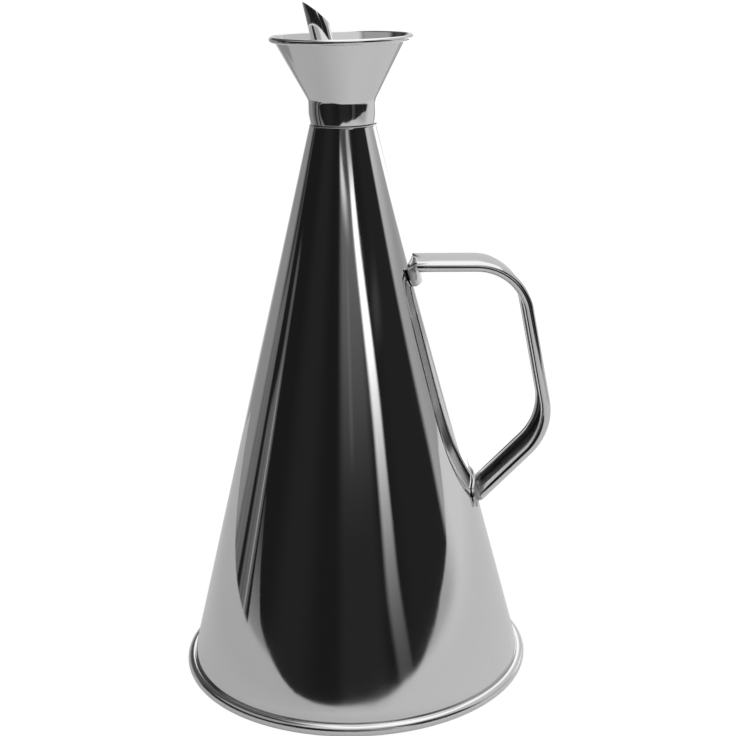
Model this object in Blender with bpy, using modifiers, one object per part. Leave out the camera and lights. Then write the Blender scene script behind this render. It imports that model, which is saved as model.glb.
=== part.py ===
"""A conical stainless steel oil can with a strap handle and a lift-off pouring head.

The can stands on the floor with its axis on Z, the handle points to +X, and the
spout leans away from the handle. All sizes are in metres.
"""

import math

import bmesh
import bpy
from mathutils import Matrix, Vector

# Gap that is left between two pieces that seat on each other
SEAT = 0.0003

# Body cone and base
BASE_RADIUS = 0.0700
FOOT_INSET = 0.0031
NECK_RADIUS = 0.01285
NECK_HEIGHT = 0.2205
BODY_SHEET = 0.0007
HEM_HEIGHT = 0.0050
BEAD_RADIUS = 0.00235
BASE_SHEET = 0.0007
BASE_RECESS = 0.0012
BASE_RING_WIDTH = 0.0020
BASE_STEP_WIDTH = 0.0030

# Neck ferrule, which lines the cone's mouth and is the socket of the pouring head
FERRULE_BORE = 0.01115
FERRULE_WALL = 0.0006
FERRULE_LENGTH = 0.0112
FERRULE_FLARE_HEIGHT = 0.0012

# Handle strap: a strip with both edges rolled in, and a foot of the unrolled sheet at each end
STRAP_WIDTH = 0.0210
STRAP_SHEET = 0.0009
STRAP_CROWN = 0.0003
ROLL_RADIUS = 0.00195
ROLL_TURN = math.radians(235)
HANDLE_TOP = 0.1678
HANDLE_FALL = 0.0008
HANDLE_REACH = 0.0683
GRIP_LEAN = 0.0123
GRIP_DROP = 0.0688
RETURN_SLOPE = math.radians(44.6)
UPPER_BEND = 0.0225
LOWER_BEND = 0.0250
FOOT_BEND = 0.0007
FOOT_LENGTH = 0.0085
ROLL_STAND_OFF = 0.0022
ROLL_RUN = 0.0060

# Pouring head: funnel, stopper cup, spout tube and seal
HEAD_TURN = math.radians(20)
HEAD_SHEET = 0.0006
COLLAR_RADIUS = 0.0130
COLLAR_BEND = 0.0040
COLLAR_FOOT_RADIUS = 0.0124
COLLAR_TAPER = 0.0037
FUNNEL_HALF_ANGLE = math.radians(28.8)
FUNNEL_RISE = 0.0316
RIM_RADIUS = 0.0270
RIM_ROLL = 0.00105
RIM_TURN = math.radians(270)
SPIGOT_CLEARANCE = 0.00075
SPIGOT_LENGTH = 0.0112
SPIGOT_WALL = 0.0021
SPIGOT_CHAMFER = 0.0006
TRAY_RISE = 0.0078
TRAY_THICKNESS = 0.0010
TRAY_LIP = 0.0012
GROOVE_DROP = 0.0037
GROOVE_DEPTH = 0.0014
SEAL_HEIGHT = 0.0032
SEAL_ROUND = 0.0005
DRAIN_RADIUS = 0.0018
DRAIN_OFFSET = 0.0064
SPOUT_RADIUS = 0.0040
SPOUT_WALL = 0.0006
SPOUT_LEAN = math.radians(12.7)
SPOUT_CROSSING_DROP = 0.0025
SPOUT_FOOT = 0.0060
SPOUT_RISE = 0.0137
SPOUT_CUT = math.radians(52)
SOLDER_LEG = 0.0013
SOLDER_HOLLOW = (0.35, 0.40)

# Facets around each kind of turned piece
BODY_STEPS = 64
NECK_STEPS = 48
TUBE_STEPS = 32
DRAIN_STEPS = 20

# Facets along each kind of arc
CURL_OUTSIDE = 8
CURL_INSIDE = 6
RIM_FACETS = 9
COLLAR_FACETS = 4
ROLL_FACETS = 8
WEB_FACETS = 4
FOOT_FACETS = 4
UPPER_FACETS = 8
LOWER_FACETS = 7

SHARP_ANGLE = math.radians(38)
MERGE_DISTANCE = 0.00001
COLLECTION_NAME = "oil_can"


# Sizes worked out from the driving dimensions

FOOT_RADIUS = BASE_RADIUS - FOOT_INSET
BODY_SLOPE = (FOOT_RADIUS - NECK_RADIUS) / (NECK_HEIGHT - HEM_HEIGHT)
BODY_HALF_ANGLE = math.atan(BODY_SLOPE)
FERRULE_RADIUS = FERRULE_BORE + FERRULE_WALL
SHOULDER_Z = NECK_HEIGHT + SEAT
TAPER_Z = SHOULDER_Z + COLLAR_TAPER
RIM_HEIGHT = NECK_HEIGHT + FUNNEL_RISE
SLEEVE_RADIUS = COLLAR_RADIUS - HEAD_SHEET - SEAT
SLEEVE_FOOT_RADIUS = COLLAR_FOOT_RADIUS - HEAD_SHEET - SEAT
SPIGOT_RADIUS = FERRULE_BORE - SPIGOT_CLEARANCE
SPIGOT_BOTTOM = SHOULDER_Z - SPIGOT_LENGTH
SPIGOT_BORE = SPIGOT_RADIUS - SPIGOT_WALL
TRAY_Z = SHOULDER_Z + TRAY_RISE
GROOVE_TOP = SHOULDER_Z - GROOVE_DROP
GROOVE_BOTTOM = GROOVE_TOP - SEAL_HEIGHT - 2 * SEAT
GROOVE_RADIUS = SPIGOT_RADIUS - GROOVE_DEPTH
SPOUT_CROSSING_Z = SHOULDER_Z - SPOUT_CROSSING_DROP
DRILL_LENGTH = 6 * TRAY_THICKNESS
ROLL_MIDDLE = ROLL_RADIUS - STRAP_SHEET / 2
WEB_HALF = STRAP_WIDTH / 2 - ROLL_RADIUS

# How a cross row of the strap is shaped
FOOT, FOLD, TRIMMED, PLAIN = range(4)


def body_radius(z):
    """Outer radius of the body cone at height z."""
    return NECK_RADIUS + (NECK_HEIGHT - z) * BODY_SLOPE


def arc(centre, radius, start, end, segments):
    """Points on an arc in the profile plane, with both ends, angles in radians."""
    points = []
    for i in range(segments + 1):
        angle = start + (end - start) * i / segments
        points.append((centre[0] + radius * math.cos(angle), centre[1] + radius * math.sin(angle)))
    return points


def clear_scene():
    for obj in list(bpy.data.objects):
        bpy.data.objects.remove(obj)


def make_collection(name):
    collection = bpy.data.collections.new(name)
    bpy.context.scene.collection.children.link(collection)
    return collection


def make_material(name, colour, roughness, metallic):
    material = bpy.data.materials.new(name)
    material.use_nodes = True
    shader = material.node_tree.nodes["Principled BSDF"]
    shader.inputs["Base Color"].default_value = (*colour, 1.0)
    shader.inputs["Roughness"].default_value = roughness
    shader.inputs["Metallic"].default_value = metallic
    return material


def add_object(name, mesh, collection, material=None):
    obj = bpy.data.objects.new(name, mesh)
    collection.objects.link(obj)
    if material is not None:
        mesh.materials.append(material)
    return obj


def smooth(mesh):
    """Shade round walls smooth and keep true edges sharp."""
    mesh.shade_smooth()
    mesh.set_sharp_from_angle(angle=SHARP_ANGLE)


def turned_mesh(name, profile, steps, closed):
    """Turn a profile of (radius, height) points round Z.

    A closed profile is a ring's section. An open one starts and ends on the axis.
    """
    outline = bpy.data.meshes.new(name + "_profile")
    edges = [(i, i + 1) for i in range(len(profile) - 1)]
    if closed:
        edges.append((len(profile) - 1, 0))
    outline.from_pydata([(r, 0.0, z) for r, z in profile], edges, [])
    guide = bpy.data.objects.new(name + "_profile", outline)
    bpy.context.scene.collection.objects.link(guide)
    screw = guide.modifiers.new("turn", "SCREW")
    screw.steps = steps
    screw.render_steps = steps
    screw.use_merge_vertices = True
    screw.merge_threshold = MERGE_DISTANCE
    screw.use_smooth_shade = True
    bpy.context.view_layer.update()
    graph = bpy.context.evaluated_depsgraph_get()
    mesh = bpy.data.meshes.new_from_object(guide.evaluated_get(graph))
    mesh.name = name
    bpy.data.objects.remove(guide)
    smooth(mesh)
    return mesh


def turned(name, profile, steps, closed, collection, material):
    return add_object(name, turned_mesh(name, profile, steps, closed), collection, material)


def add_cutter(name, mesh, collection, matrix):
    cutter = add_object(name, mesh, collection)
    cutter.matrix_world = matrix
    cutter.hide_render = True
    cutter.display_type = "WIRE"
    return cutter


def cylinder_mesh(name, radius, length, steps):
    """A solid cylinder round Z, centred on the origin."""
    mesh = bpy.data.meshes.new(name)
    shape = bmesh.new()
    bmesh.ops.create_cone(
        shape, cap_ends=True, segments=steps, radius1=radius, radius2=radius, depth=length
    )
    shape.to_mesh(mesh)
    shape.free()
    return mesh


def block_mesh(name, width, depth, height):
    """A block whose lower face is centred on the origin."""
    mesh = bpy.data.meshes.new(name)
    shape = bmesh.new()
    bmesh.ops.create_cube(shape, size=1.0)
    bmesh.ops.scale(shape, vec=(width, depth, height), verts=shape.verts)
    bmesh.ops.translate(shape, vec=(0, 0, height / 2), verts=shape.verts)
    shape.to_mesh(mesh)
    shape.free()
    return mesh


def cut(obj, cutter):
    boolean = obj.modifiers.new("cut_" + cutter.name, "BOOLEAN")
    boolean.operation = "DIFFERENCE"
    boolean.solver = "EXACT"
    boolean.object = cutter


def bead_turn():
    """Angle at which the curled rim of the base comes within SEAT of the cone's hem.

    A curl that stops before its top is nearest to the hem with its inner edge, and one
    that goes past its top is nearest with its outer edge.
    """
    reach = FOOT_RADIUS + SEAT - (BASE_RADIUS - BEAD_RADIUS)
    edge = BEAD_RADIUS - BASE_SHEET if reach > 0 else BEAD_RADIUS
    return math.acos(reach / edge)


def make_body_cone(collection, material):
    """The sheet cone, with an upright hem at its foot that stands in the base's curled rim."""
    wall = BODY_SHEET / math.cos(BODY_HALF_ANGLE)
    hem_bottom = BASE_SHEET + SEAT
    hem_inside = FOOT_RADIUS - BODY_SHEET
    profile = [
        (NECK_RADIUS, NECK_HEIGHT),
        (FOOT_RADIUS, HEM_HEIGHT),
        (FOOT_RADIUS, hem_bottom),
        (hem_inside, hem_bottom),
        (hem_inside, HEM_HEIGHT - BODY_SHEET * math.tan(BODY_HALF_ANGLE / 2)),
        (NECK_RADIUS - wall, NECK_HEIGHT),
    ]
    return turned("body_cone", profile, BODY_STEPS, True, collection, material)


def make_base_plate(collection, material):
    """The base disc: a raised panel, a flat standing ring and a rim curled up round the foot."""
    centre = (BASE_RADIUS - BEAD_RADIUS, BEAD_RADIUS)
    turn = bead_turn()
    ring_inner = centre[0] - BASE_RING_WIDTH
    panel_edge = ring_inner - BASE_STEP_WIDTH
    panel_top = BASE_RECESS + BASE_SHEET
    outside = arc(centre, BEAD_RADIUS, turn, -math.pi / 2, CURL_OUTSIDE)
    inside = arc(centre, BEAD_RADIUS - BASE_SHEET, -math.pi / 2, turn, CURL_INSIDE)
    profile = [(0.0, panel_top), (panel_edge, panel_top), (ring_inner, BASE_SHEET)]
    profile += inside + outside
    profile += [(ring_inner, 0.0), (panel_edge, BASE_RECESS), (0.0, BASE_RECESS)]
    return turned("base_plate", profile, BODY_STEPS, False, collection, material)


def make_neck_ferrule(collection, material):
    """The tube soldered into the cone's mouth, with a slightly flared lower end."""
    bottom = NECK_HEIGHT - FERRULE_LENGTH
    flare_top = bottom + FERRULE_FLARE_HEIGHT
    profile = [
        (FERRULE_RADIUS, NECK_HEIGHT),
        (FERRULE_RADIUS, flare_top),
        (FERRULE_RADIUS + FERRULE_WALL, bottom),
        (FERRULE_RADIUS, bottom),
        (FERRULE_BORE, flare_top),
        (FERRULE_BORE, NECK_HEIGHT),
    ]
    return turned("neck_ferrule", profile, NECK_STEPS, True, collection, material)


def handle_corners():
    """Corners of the strap's middle line in the XZ plane, from the upper foot to the lower."""
    stand_off = (SEAT + STRAP_SHEET / 2) / math.cos(BODY_HALF_ANGLE)

    def on_body(z):
        return Vector((body_radius(z) + stand_off, z))

    upper = on_body(HANDLE_TOP)
    reach = Vector((HANDLE_REACH, HANDLE_TOP - HANDLE_FALL))
    grip = Vector((HANDLE_REACH + GRIP_LEAN, HANDLE_TOP - GRIP_DROP))
    across = grip.x - on_body(grip.y).x
    run = across / (math.cos(RETURN_SLOPE) + BODY_SLOPE * math.sin(RETURN_SLOPE))
    lower = grip - run * Vector((math.cos(RETURN_SLOPE), math.sin(RETURN_SLOPE)))
    drop = FOOT_LENGTH * math.cos(BODY_HALF_ANGLE)
    return [on_body(upper.y - drop), upper, reach, grip, lower, on_body(lower.y + drop)]


def bend_turn(before, corner, after):
    """Angle through which the strap turns at a corner."""
    cosine = (corner - before).normalized().dot((after - corner).normalized())
    return math.acos(max(-1.0, min(1.0, cosine)))


def handle_stations():
    """Stations along the strap: point, direction, the way out from the can, and the row's shape."""
    corners = handle_corners()
    bends = [FOOT_BEND, UPPER_BEND, LOWER_BEND, FOOT_BEND]
    facets = [FOOT_FACETS, UPPER_FACETS, LOWER_FACETS, FOOT_FACETS]
    upper_foot, lower_foot = 0, len(bends) - 1
    first = (corners[1] - corners[0]).normalized()
    final = (corners[-1] - corners[-2]).normalized()
    outward = (corners[2] - corners[1]).normalized()
    stations = [(corners[0], first, outward, FOOT)]
    for i, (bend, count) in enumerate(zip(bends, facets)):
        before, corner, after = corners[i : i + 3]
        arriving = (corner - before).normalized()
        leaving = (after - corner).normalized()
        turn = bend_turn(before, corner, after)
        start = corner - arriving * bend * math.tan(turn / 2)
        if i == lower_foot:
            outward = -arriving
            stations.append((start - arriving * ROLL_RUN, arriving, outward, PLAIN))
            stations.append((start, arriving, outward, TRIMMED))
        centre = start + Vector((arriving.y, -arriving.x)) * bend
        shape = FOLD if i in (upper_foot, lower_foot) else PLAIN
        for k in range(count + 1):
            spin = Matrix.Rotation(-turn * k / count, 2)
            stations.append((centre + spin @ (start - centre), spin @ arriving, outward, shape))
        if i == upper_foot:
            last = stations[-1][0]
            stations.append((last, leaving, outward, TRIMMED))
            stations.append((last + leaving * ROLL_RUN, leaving, outward, PLAIN))
    stations[1] = (*stations[1][:3], FOOT)
    stations[-1] = (*stations[-1][:3], FOOT)
    stations.append((corners[-1], final, outward, FOOT))
    return stations


def slide_to_body(place, outward, across, radius):
    """Distance along a direction that brings a point onto a cone with the body's slope.

    The point is across from the middle plane, and the cone has the radius at its height.
    """
    square = outward.x**2 - (BODY_SLOPE * outward.y) ** 2
    half = place.x * outward.x + radius * BODY_SLOPE * outward.y
    rest = place.x**2 + across**2 - radius**2
    return -rest / (half + math.sqrt(half**2 - square * rest))


def strap_section():
    """Section of the strap as (across, out) points: rolled edge, crowned web, rolled edge."""
    roll = []
    for i in range(1, ROLL_FACETS + 1):
        angle = ROLL_TURN * i / ROLL_FACETS
        across = WEB_HALF + ROLL_MIDDLE * math.sin(angle)
        roll.append((across, ROLL_MIDDLE * (math.cos(angle) - 1)))
    web = []
    for i in range(WEB_FACETS + 1):
        across = WEB_HALF * (2 * i / WEB_FACETS - 1)
        web.append((across, STRAP_CROWN * (1 - (across / WEB_HALF) ** 2)))
    return [(-across, out) for across, out in reversed(roll)] + web + roll


def foot_section():
    """The same section laid flat, with the edges unrolled to their full length."""
    edge = []
    for i in range(1, ROLL_FACETS + 1):
        edge.append((WEB_HALF + ROLL_MIDDLE * ROLL_TURN * i / ROLL_FACETS, 0.0))
    web = [(WEB_HALF * (2 * i / WEB_FACETS - 1), 0.0) for i in range(WEB_FACETS + 1)]
    return [(-across, out) for across, out in reversed(edge)] + web + edge


def strap_row(point, along, outward, shape):
    """Points of one cross row of the strap's middle surface."""
    out = Vector((-along.y, along.x))
    row = []
    for across, offset in foot_section() if shape in (FOOT, FOLD) else strap_section():
        place = point + out * offset
        if shape != PLAIN:
            radius = body_radius(place.y) + ROLL_STAND_OFF if shape == TRIMMED else place.x
            place += outward * slide_to_body(place, outward, across, radius)
        row.append((place.x, across, place.y))
    return row


def make_handle_strap(collection, material):
    """The strap is one sheet: unrolled on its feet, bare web in the folds, then rolled edges."""
    stations = handle_stations()
    columns = len(strap_section())
    web_columns = range(ROLL_FACETS, ROLL_FACETS + WEB_FACETS)
    shape = bmesh.new()
    rows = [[shape.verts.new(place) for place in strap_row(*station)] for station in stations]
    for i in range(len(rows) - 1):
        here, beyond = stations[i][3], stations[i + 1][3]
        whole = here == beyond == FOOT or {here, beyond} <= {TRIMMED, PLAIN}
        for j in range(columns - 1):
            if whole or j in web_columns:
                shape.faces.new((rows[i][j], rows[i][j + 1], rows[i + 1][j + 1], rows[i + 1][j]))
    loose = [vert for vert in shape.verts if not vert.link_faces]
    bmesh.ops.delete(shape, geom=loose, context="VERTS")
    mesh = bpy.data.meshes.new("handle_strap")
    shape.to_mesh(mesh)
    shape.free()
    smooth(mesh)
    strap = add_object("handle_strap", mesh, collection, material)
    sheet = strap.modifiers.new("sheet", "SOLIDIFY")
    sheet.thickness = STRAP_SHEET
    sheet.offset = 0.0
    sheet.use_even_offset = True
    return strap


def make_stopper_seal(collection, material, parent):
    """The silicone ring in the spigot's groove."""
    inner = GROOVE_RADIUS + SEAT
    outer = FERRULE_BORE - SEAT
    top = GROOVE_TOP - SEAT
    bottom = GROOVE_BOTTOM + SEAT
    profile = [
        (outer - SEAL_ROUND, top),
        (outer, top - SEAL_ROUND),
        (outer, bottom + SEAL_ROUND),
        (outer - SEAL_ROUND, bottom),
        (inner, bottom),
        (inner, top),
    ]
    seal = turned("stopper_seal", profile, NECK_STEPS, True, collection, material)
    seal.parent = parent
    seal.matrix_parent_inverse = parent.matrix_world.inverted()
    return seal


def make_funnel(collection, material):
    """The drip funnel: tapered foot, straight collar, bend, cone and a rim rolled outwards."""
    lean = FUNNEL_HALF_ANGLE
    roll_inner = RIM_ROLL - HEAD_SHEET
    centre = (RIM_RADIUS - RIM_ROLL, RIM_HEIGHT)
    start = math.pi - lean
    end = start - RIM_TURN
    outer_roll = arc(centre, RIM_ROLL, start, end, RIM_FACETS)
    inner_roll = arc(centre, roll_inner, end, start, RIM_FACETS)
    join_r, join_z = inner_roll[-1]
    knee_z = join_z - (join_r - COLLAR_RADIUS) / math.tan(lean)
    bend_centre = (COLLAR_RADIUS + COLLAR_BEND, knee_z - COLLAR_BEND * math.tan(lean / 2))
    outer_bend = arc(bend_centre, COLLAR_BEND, math.pi - lean, math.pi, COLLAR_FACETS)
    inner_bend = arc(bend_centre, COLLAR_BEND + HEAD_SHEET, math.pi, math.pi - lean, COLLAR_FACETS)
    lip = HEAD_SHEET / 2
    profile = inner_roll + outer_bend
    profile += [(COLLAR_RADIUS, TAPER_Z), (COLLAR_FOOT_RADIUS, SHOULDER_Z + lip)]
    profile += [(COLLAR_FOOT_RADIUS - lip, SHOULDER_Z), (COLLAR_FOOT_RADIUS - HEAD_SHEET, SHOULDER_Z)]
    profile += [(COLLAR_RADIUS - HEAD_SHEET, TAPER_Z)]
    profile += inner_bend + outer_roll
    return turned("funnel", profile, NECK_STEPS, True, collection, material)


def spout_frame():
    """Placement of the spout's own axis, whose origin is where it crosses the can's axis."""
    crossing = Matrix.Translation((0.0, 0.0, SPOUT_CROSSING_Z))
    return crossing @ Matrix.Rotation(-SPOUT_LEAN, 4, "Y")


def make_stopper_cup(collection, cutters, material):
    """The turned stopper: grooved spigot, shoulder, tapered sleeve and drip tray."""
    lip_inner = SLEEVE_RADIUS - HEAD_SHEET
    tray_under = TRAY_Z - TRAY_THICKNESS
    profile = [
        (0.0, TRAY_Z),
        (lip_inner - TRAY_LIP, TRAY_Z),
        (lip_inner, TRAY_Z + TRAY_LIP),
        (SLEEVE_RADIUS, TRAY_Z + TRAY_LIP),
        (SLEEVE_RADIUS, TAPER_Z),
        (SLEEVE_FOOT_RADIUS, SHOULDER_Z),
        (SPIGOT_RADIUS, SHOULDER_Z),
        (SPIGOT_RADIUS, GROOVE_TOP),
        (GROOVE_RADIUS, GROOVE_TOP),
        (GROOVE_RADIUS, GROOVE_BOTTOM),
        (SPIGOT_RADIUS, GROOVE_BOTTOM),
        (SPIGOT_RADIUS, SPIGOT_BOTTOM + SPIGOT_CHAMFER),
        (SPIGOT_RADIUS - SPIGOT_CHAMFER, SPIGOT_BOTTOM),
        (SPIGOT_BORE, SPIGOT_BOTTOM),
        (SPIGOT_BORE, tray_under - SPIGOT_CHAMFER),
        (SPIGOT_BORE - SPIGOT_CHAMFER, tray_under),
        (0.0, tray_under),
    ]
    cup = turned("stopper_cup", profile, NECK_STEPS, False, collection, material)
    above_drain = Matrix.Translation((DRAIN_OFFSET, 0.0, TRAY_Z))
    drain_mesh = cylinder_mesh("drain_drill", DRAIN_RADIUS, DRILL_LENGTH, DRAIN_STEPS)
    drain = add_cutter("drain_drill", drain_mesh, cutters, above_drain)
    along = (TRAY_Z - SPOUT_CROSSING_Z) / math.cos(SPOUT_LEAN)
    bore = cylinder_mesh("spout_drill", SPOUT_RADIUS + SEAT, DRILL_LENGTH, TUBE_STEPS)
    through = spout_frame() @ Matrix.Translation((0.0, 0.0, along))
    spout_hole = add_cutter("spout_drill", bore, cutters, through)
    cut(cup, drain)
    cut(cup, spout_hole)
    return cup, [drain, spout_hole]


def make_spout_tube(collection, cutters, material):
    """The leaning tube, with its tip cut slanting so that the long lip is on the pouring side."""
    rise = RIM_HEIGHT + SPOUT_RISE - SPOUT_CROSSING_Z
    tip = (rise + SPOUT_RADIUS * math.sin(SPOUT_LEAN)) / math.cos(SPOUT_LEAN)
    inner = SPOUT_RADIUS - SPOUT_WALL
    profile = [
        (SPOUT_RADIUS, tip),
        (SPOUT_RADIUS, -SPOUT_FOOT),
        (inner, -SPOUT_FOOT),
        (inner, tip),
    ]
    tube = turned("spout_tube", profile, TUBE_STEPS, True, collection, material)
    tube.matrix_world = spout_frame()
    size = 8 * SPOUT_RADIUS
    block = block_mesh("tip_cut", size, size, size)
    lip = Matrix.Translation((-SPOUT_RADIUS, 0.0, tip)) @ Matrix.Rotation(SPOUT_CUT, 4, "Y")
    slant = add_cutter("tip_cut", block, cutters, spout_frame() @ lip)
    cut(tube, slant)
    return tube, [slant]


def make_spout_solder(collection, material):
    """The fillet of solder round the spout where it leaves the tray."""
    low = TRAY_Z + SEAT
    lean = math.tan(SPOUT_LEAN)
    inner = SPOUT_RADIUS / math.cos(SPOUT_LEAN) + SOLDER_LEG / 2 * lean + SEAT
    profile = [
        (inner, low + SOLDER_LEG),
        (inner + SOLDER_LEG * SOLDER_HOLLOW[0], low + SOLDER_LEG * SOLDER_HOLLOW[1]),
        (inner + SOLDER_LEG, low),
        (inner, low),
    ]
    ring = turned("spout_solder", profile, TUBE_STEPS, True, collection, material)
    rise = low + SOLDER_LEG / 2 - SPOUT_CROSSING_Z
    ring.matrix_world = Matrix.Translation((-rise * lean, 0.0, 0.0))
    return ring


def add_pivot(name, height, parent=None):
    pivot = bpy.data.objects.new(name, None)
    bpy.context.scene.collection.objects.link(pivot)
    pivot.location = (0.0, 0.0, height)
    bpy.context.view_layer.update()
    if parent is not None:
        pivot.parent = parent
        pivot.matrix_parent_inverse = parent.matrix_world.inverted()
    return pivot


def main():
    clear_scene()
    parts = make_collection(COLLECTION_NAME)
    cutters = make_collection("cutters")
    polished = make_material("polished_steel", (0.76, 0.77, 0.78), 0.12, 1.0)
    satin = make_material("satin_steel", (0.66, 0.67, 0.68), 0.32, 1.0)
    silicone = make_material("seal_silicone", (0.80, 0.79, 0.76), 0.55, 0.0)

    make_body_cone(parts, polished)
    make_base_plate(parts, polished)
    make_neck_ferrule(parts, satin)
    make_handle_strap(parts, polished)

    lift = add_pivot("head_lift_axis", SHOULDER_Z)
    turn = add_pivot("head_turn_axis", SHOULDER_Z, lift)
    make_stopper_seal(parts, silicone, lift)
    funnel = make_funnel(parts, polished)
    cup, cup_cutters = make_stopper_cup(parts, cutters, satin)
    tube, tube_cutters = make_spout_tube(parts, cutters, polished)
    solder = make_spout_solder(parts, satin)
    bpy.context.view_layer.update()
    for piece in [funnel, cup, tube, solder] + cup_cutters + tube_cutters:
        piece.parent = turn
        piece.matrix_parent_inverse = turn.matrix_world.inverted()
    turn.rotation_euler.z = HEAD_TURN
    bpy.context.view_layer.update()


main()
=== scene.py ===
"""Looks of a conical stainless steel oil can with a strap handle and a lift-off pouring head.

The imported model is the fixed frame. Fine turned and formed surfaces stand for its solids, and a
room of soft light and dark walls gives the polished steel what it mirrors. Sizes are in metres.
"""

import logging
import math
from dataclasses import dataclass
from enum import Enum
from typing import Any, Union

import bmesh
import bpy
import numpy as np
from mathutils import Matrix, Vector
from mathutils.geometry import delaunay_2d_cdt


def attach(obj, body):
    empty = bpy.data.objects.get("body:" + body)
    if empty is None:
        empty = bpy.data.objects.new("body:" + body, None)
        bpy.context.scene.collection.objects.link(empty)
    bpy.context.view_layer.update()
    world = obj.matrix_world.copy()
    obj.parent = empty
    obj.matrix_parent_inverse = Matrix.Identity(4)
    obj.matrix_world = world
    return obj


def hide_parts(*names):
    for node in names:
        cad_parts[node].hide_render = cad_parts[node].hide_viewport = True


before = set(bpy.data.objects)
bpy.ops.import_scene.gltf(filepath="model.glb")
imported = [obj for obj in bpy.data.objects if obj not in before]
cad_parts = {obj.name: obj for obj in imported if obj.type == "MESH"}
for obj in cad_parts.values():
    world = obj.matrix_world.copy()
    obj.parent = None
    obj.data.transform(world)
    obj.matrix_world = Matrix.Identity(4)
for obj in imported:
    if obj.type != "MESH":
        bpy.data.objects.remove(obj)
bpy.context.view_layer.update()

log = logging.getLogger("oil_can")

MERGE_DISTANCE = 1e-7
SAME_POINT = 1e-9
FULL_TURN = 2 * math.pi
QUARTER_TURN = math.pi / 2
DEGREES = 180 / math.pi
SHARP = math.radians(32)

# The vectors that the strap's mesh carries for its finish.
MIDDLE = "middle"
INWARD = "inward"

# The places where a smooth step is 0 and 1.
Edge = tuple[float, float]

# Two levels, and the places where the change from the first to the second starts and ends.
Change = tuple[float, float, float, float]

# Red, green, blue and alpha.
Colour = tuple[float, float, float, float]

# A wave round the axis: strength, waves in a turn, radians for each metre up, and start.
Wave = tuple[float, float, float, float]


class Body(Enum):
    """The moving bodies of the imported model."""

    CAN = "can"
    SEAL = "seal"
    HEAD = "head"


class Slot(Enum):
    """The record's material slots."""

    POLISHED = "polished_steel"
    SATIN = "satin_steel"
    SILICONE = "seal_silicone"


class Row(Enum):
    """How a cross row of the handle strap is shaped."""

    FOOT = 0
    FOLD = 1
    TRIMMED = 2
    PLAIN = 3


# Shader arithmetic


class Signal:
    """A shader value whose arithmetic adds Math nodes to its graph."""

    def __init__(self, graph: "Graph", socket: bpy.types.NodeSocket) -> None:
        """Wraps an output socket.

        Args:
            graph: the graph that holds the socket's node.
            socket: the output that carries the value.
        """
        self.graph = graph
        self.socket = socket

    def _math(self, operation: str, *values: "Value") -> "Signal":
        """Adds one Math node.

        Args:
            operation: the Math node's operation.
            *values: its inputs in order.

        Returns:
            The node's output.
        """
        inputs = dict(enumerate(values))
        return self.graph.add("ShaderNodeMath", {"operation": operation}, inputs)

    def __add__(self, other: "Value") -> "Signal":
        """self + other."""
        return self._math("ADD", self, other)

    __radd__ = __add__

    def __sub__(self, other: "Value") -> "Signal":
        """self - other."""
        return self._math("SUBTRACT", self, other)

    def __rsub__(self, other: "Value") -> "Signal":
        """other - self."""
        return self._math("SUBTRACT", other, self)

    def __mul__(self, other: "Value") -> "Signal":
        """self * other."""
        return self._math("MULTIPLY", self, other)

    __rmul__ = __mul__

    def __truediv__(self, other: "Value") -> "Signal":
        """self / other."""
        return self._math("DIVIDE", self, other)

    def __rtruediv__(self, other: "Value") -> "Signal":
        """other / self."""
        return self._math("DIVIDE", other, self)

    def __pow__(self, other: "Value") -> "Signal":
        """self to the power of other."""
        return self._math("POWER", self, other)

    def __neg__(self) -> "Signal":
        """The value with its sign changed."""
        return self * -1.0

    def __abs__(self) -> "Signal":
        """The value without its sign."""
        return self._math("ABSOLUTE", self)

    def largest(self, other: "Value") -> "Signal":
        """The larger of two values."""
        return self._math("MAXIMUM", self, other)

    def smallest(self, other: "Value") -> "Signal":
        """The smaller of two values."""
        return self._math("MINIMUM", self, other)

    def arcsine(self) -> "Signal":
        """The angle whose sine is the value."""
        return self._math("ARCSINE", self)

    def arctangent(self, other: "Value") -> "Signal":
        """The angle of self over other in all four quadrants."""
        return self._math("ARCTAN2", self, other)

    def rise(self, low: float, high: float) -> "Signal":
        """A smooth step.

        Args:
            low: where it is 0.
            high: where it is 1; below low, the step falls instead.

        Returns:
            3 t^2 - 2 t^3 with t = (self - low) / (high - low), held from 0 to 1.
        """
        up = high > low
        inputs = {
            "Value": self,
            "From Min": min(low, high),
            "From Max": max(low, high),
            "To Min": 0.0 if up else 1.0,
            "To Max": 1.0 if up else 0.0,
        }
        return self.graph.add("ShaderNodeMapRange", {"interpolation_type": "SMOOTHSTEP"}, inputs)

    def change(self, before: float, after: float, low: float, high: float) -> "Signal":
        """A value that goes smoothly from one level to another.

        Args:
            before: the level at low.
            after: the level at high.
            low: where the change starts.
            high: where it ends.

        Returns:
            before + step * (after - before).
        """
        return before + self.rise(low, high) * (after - before)

    def band(self, low: float, high: float, soft: float) -> "Signal":
        """A smooth hump.

        Args:
            low: the middle of its rising edge.
            high: the middle of its falling edge.
            soft: half the width of each edge.

        Returns:
            1 between the edges and 0 outside them.
        """
        return self.rise(low - soft, low + soft) * self.rise(high + soft, high - soft)


# What a socket takes: a shader value, a number, or a vector or colour.
Value = Union[Signal, float, tuple]


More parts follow.
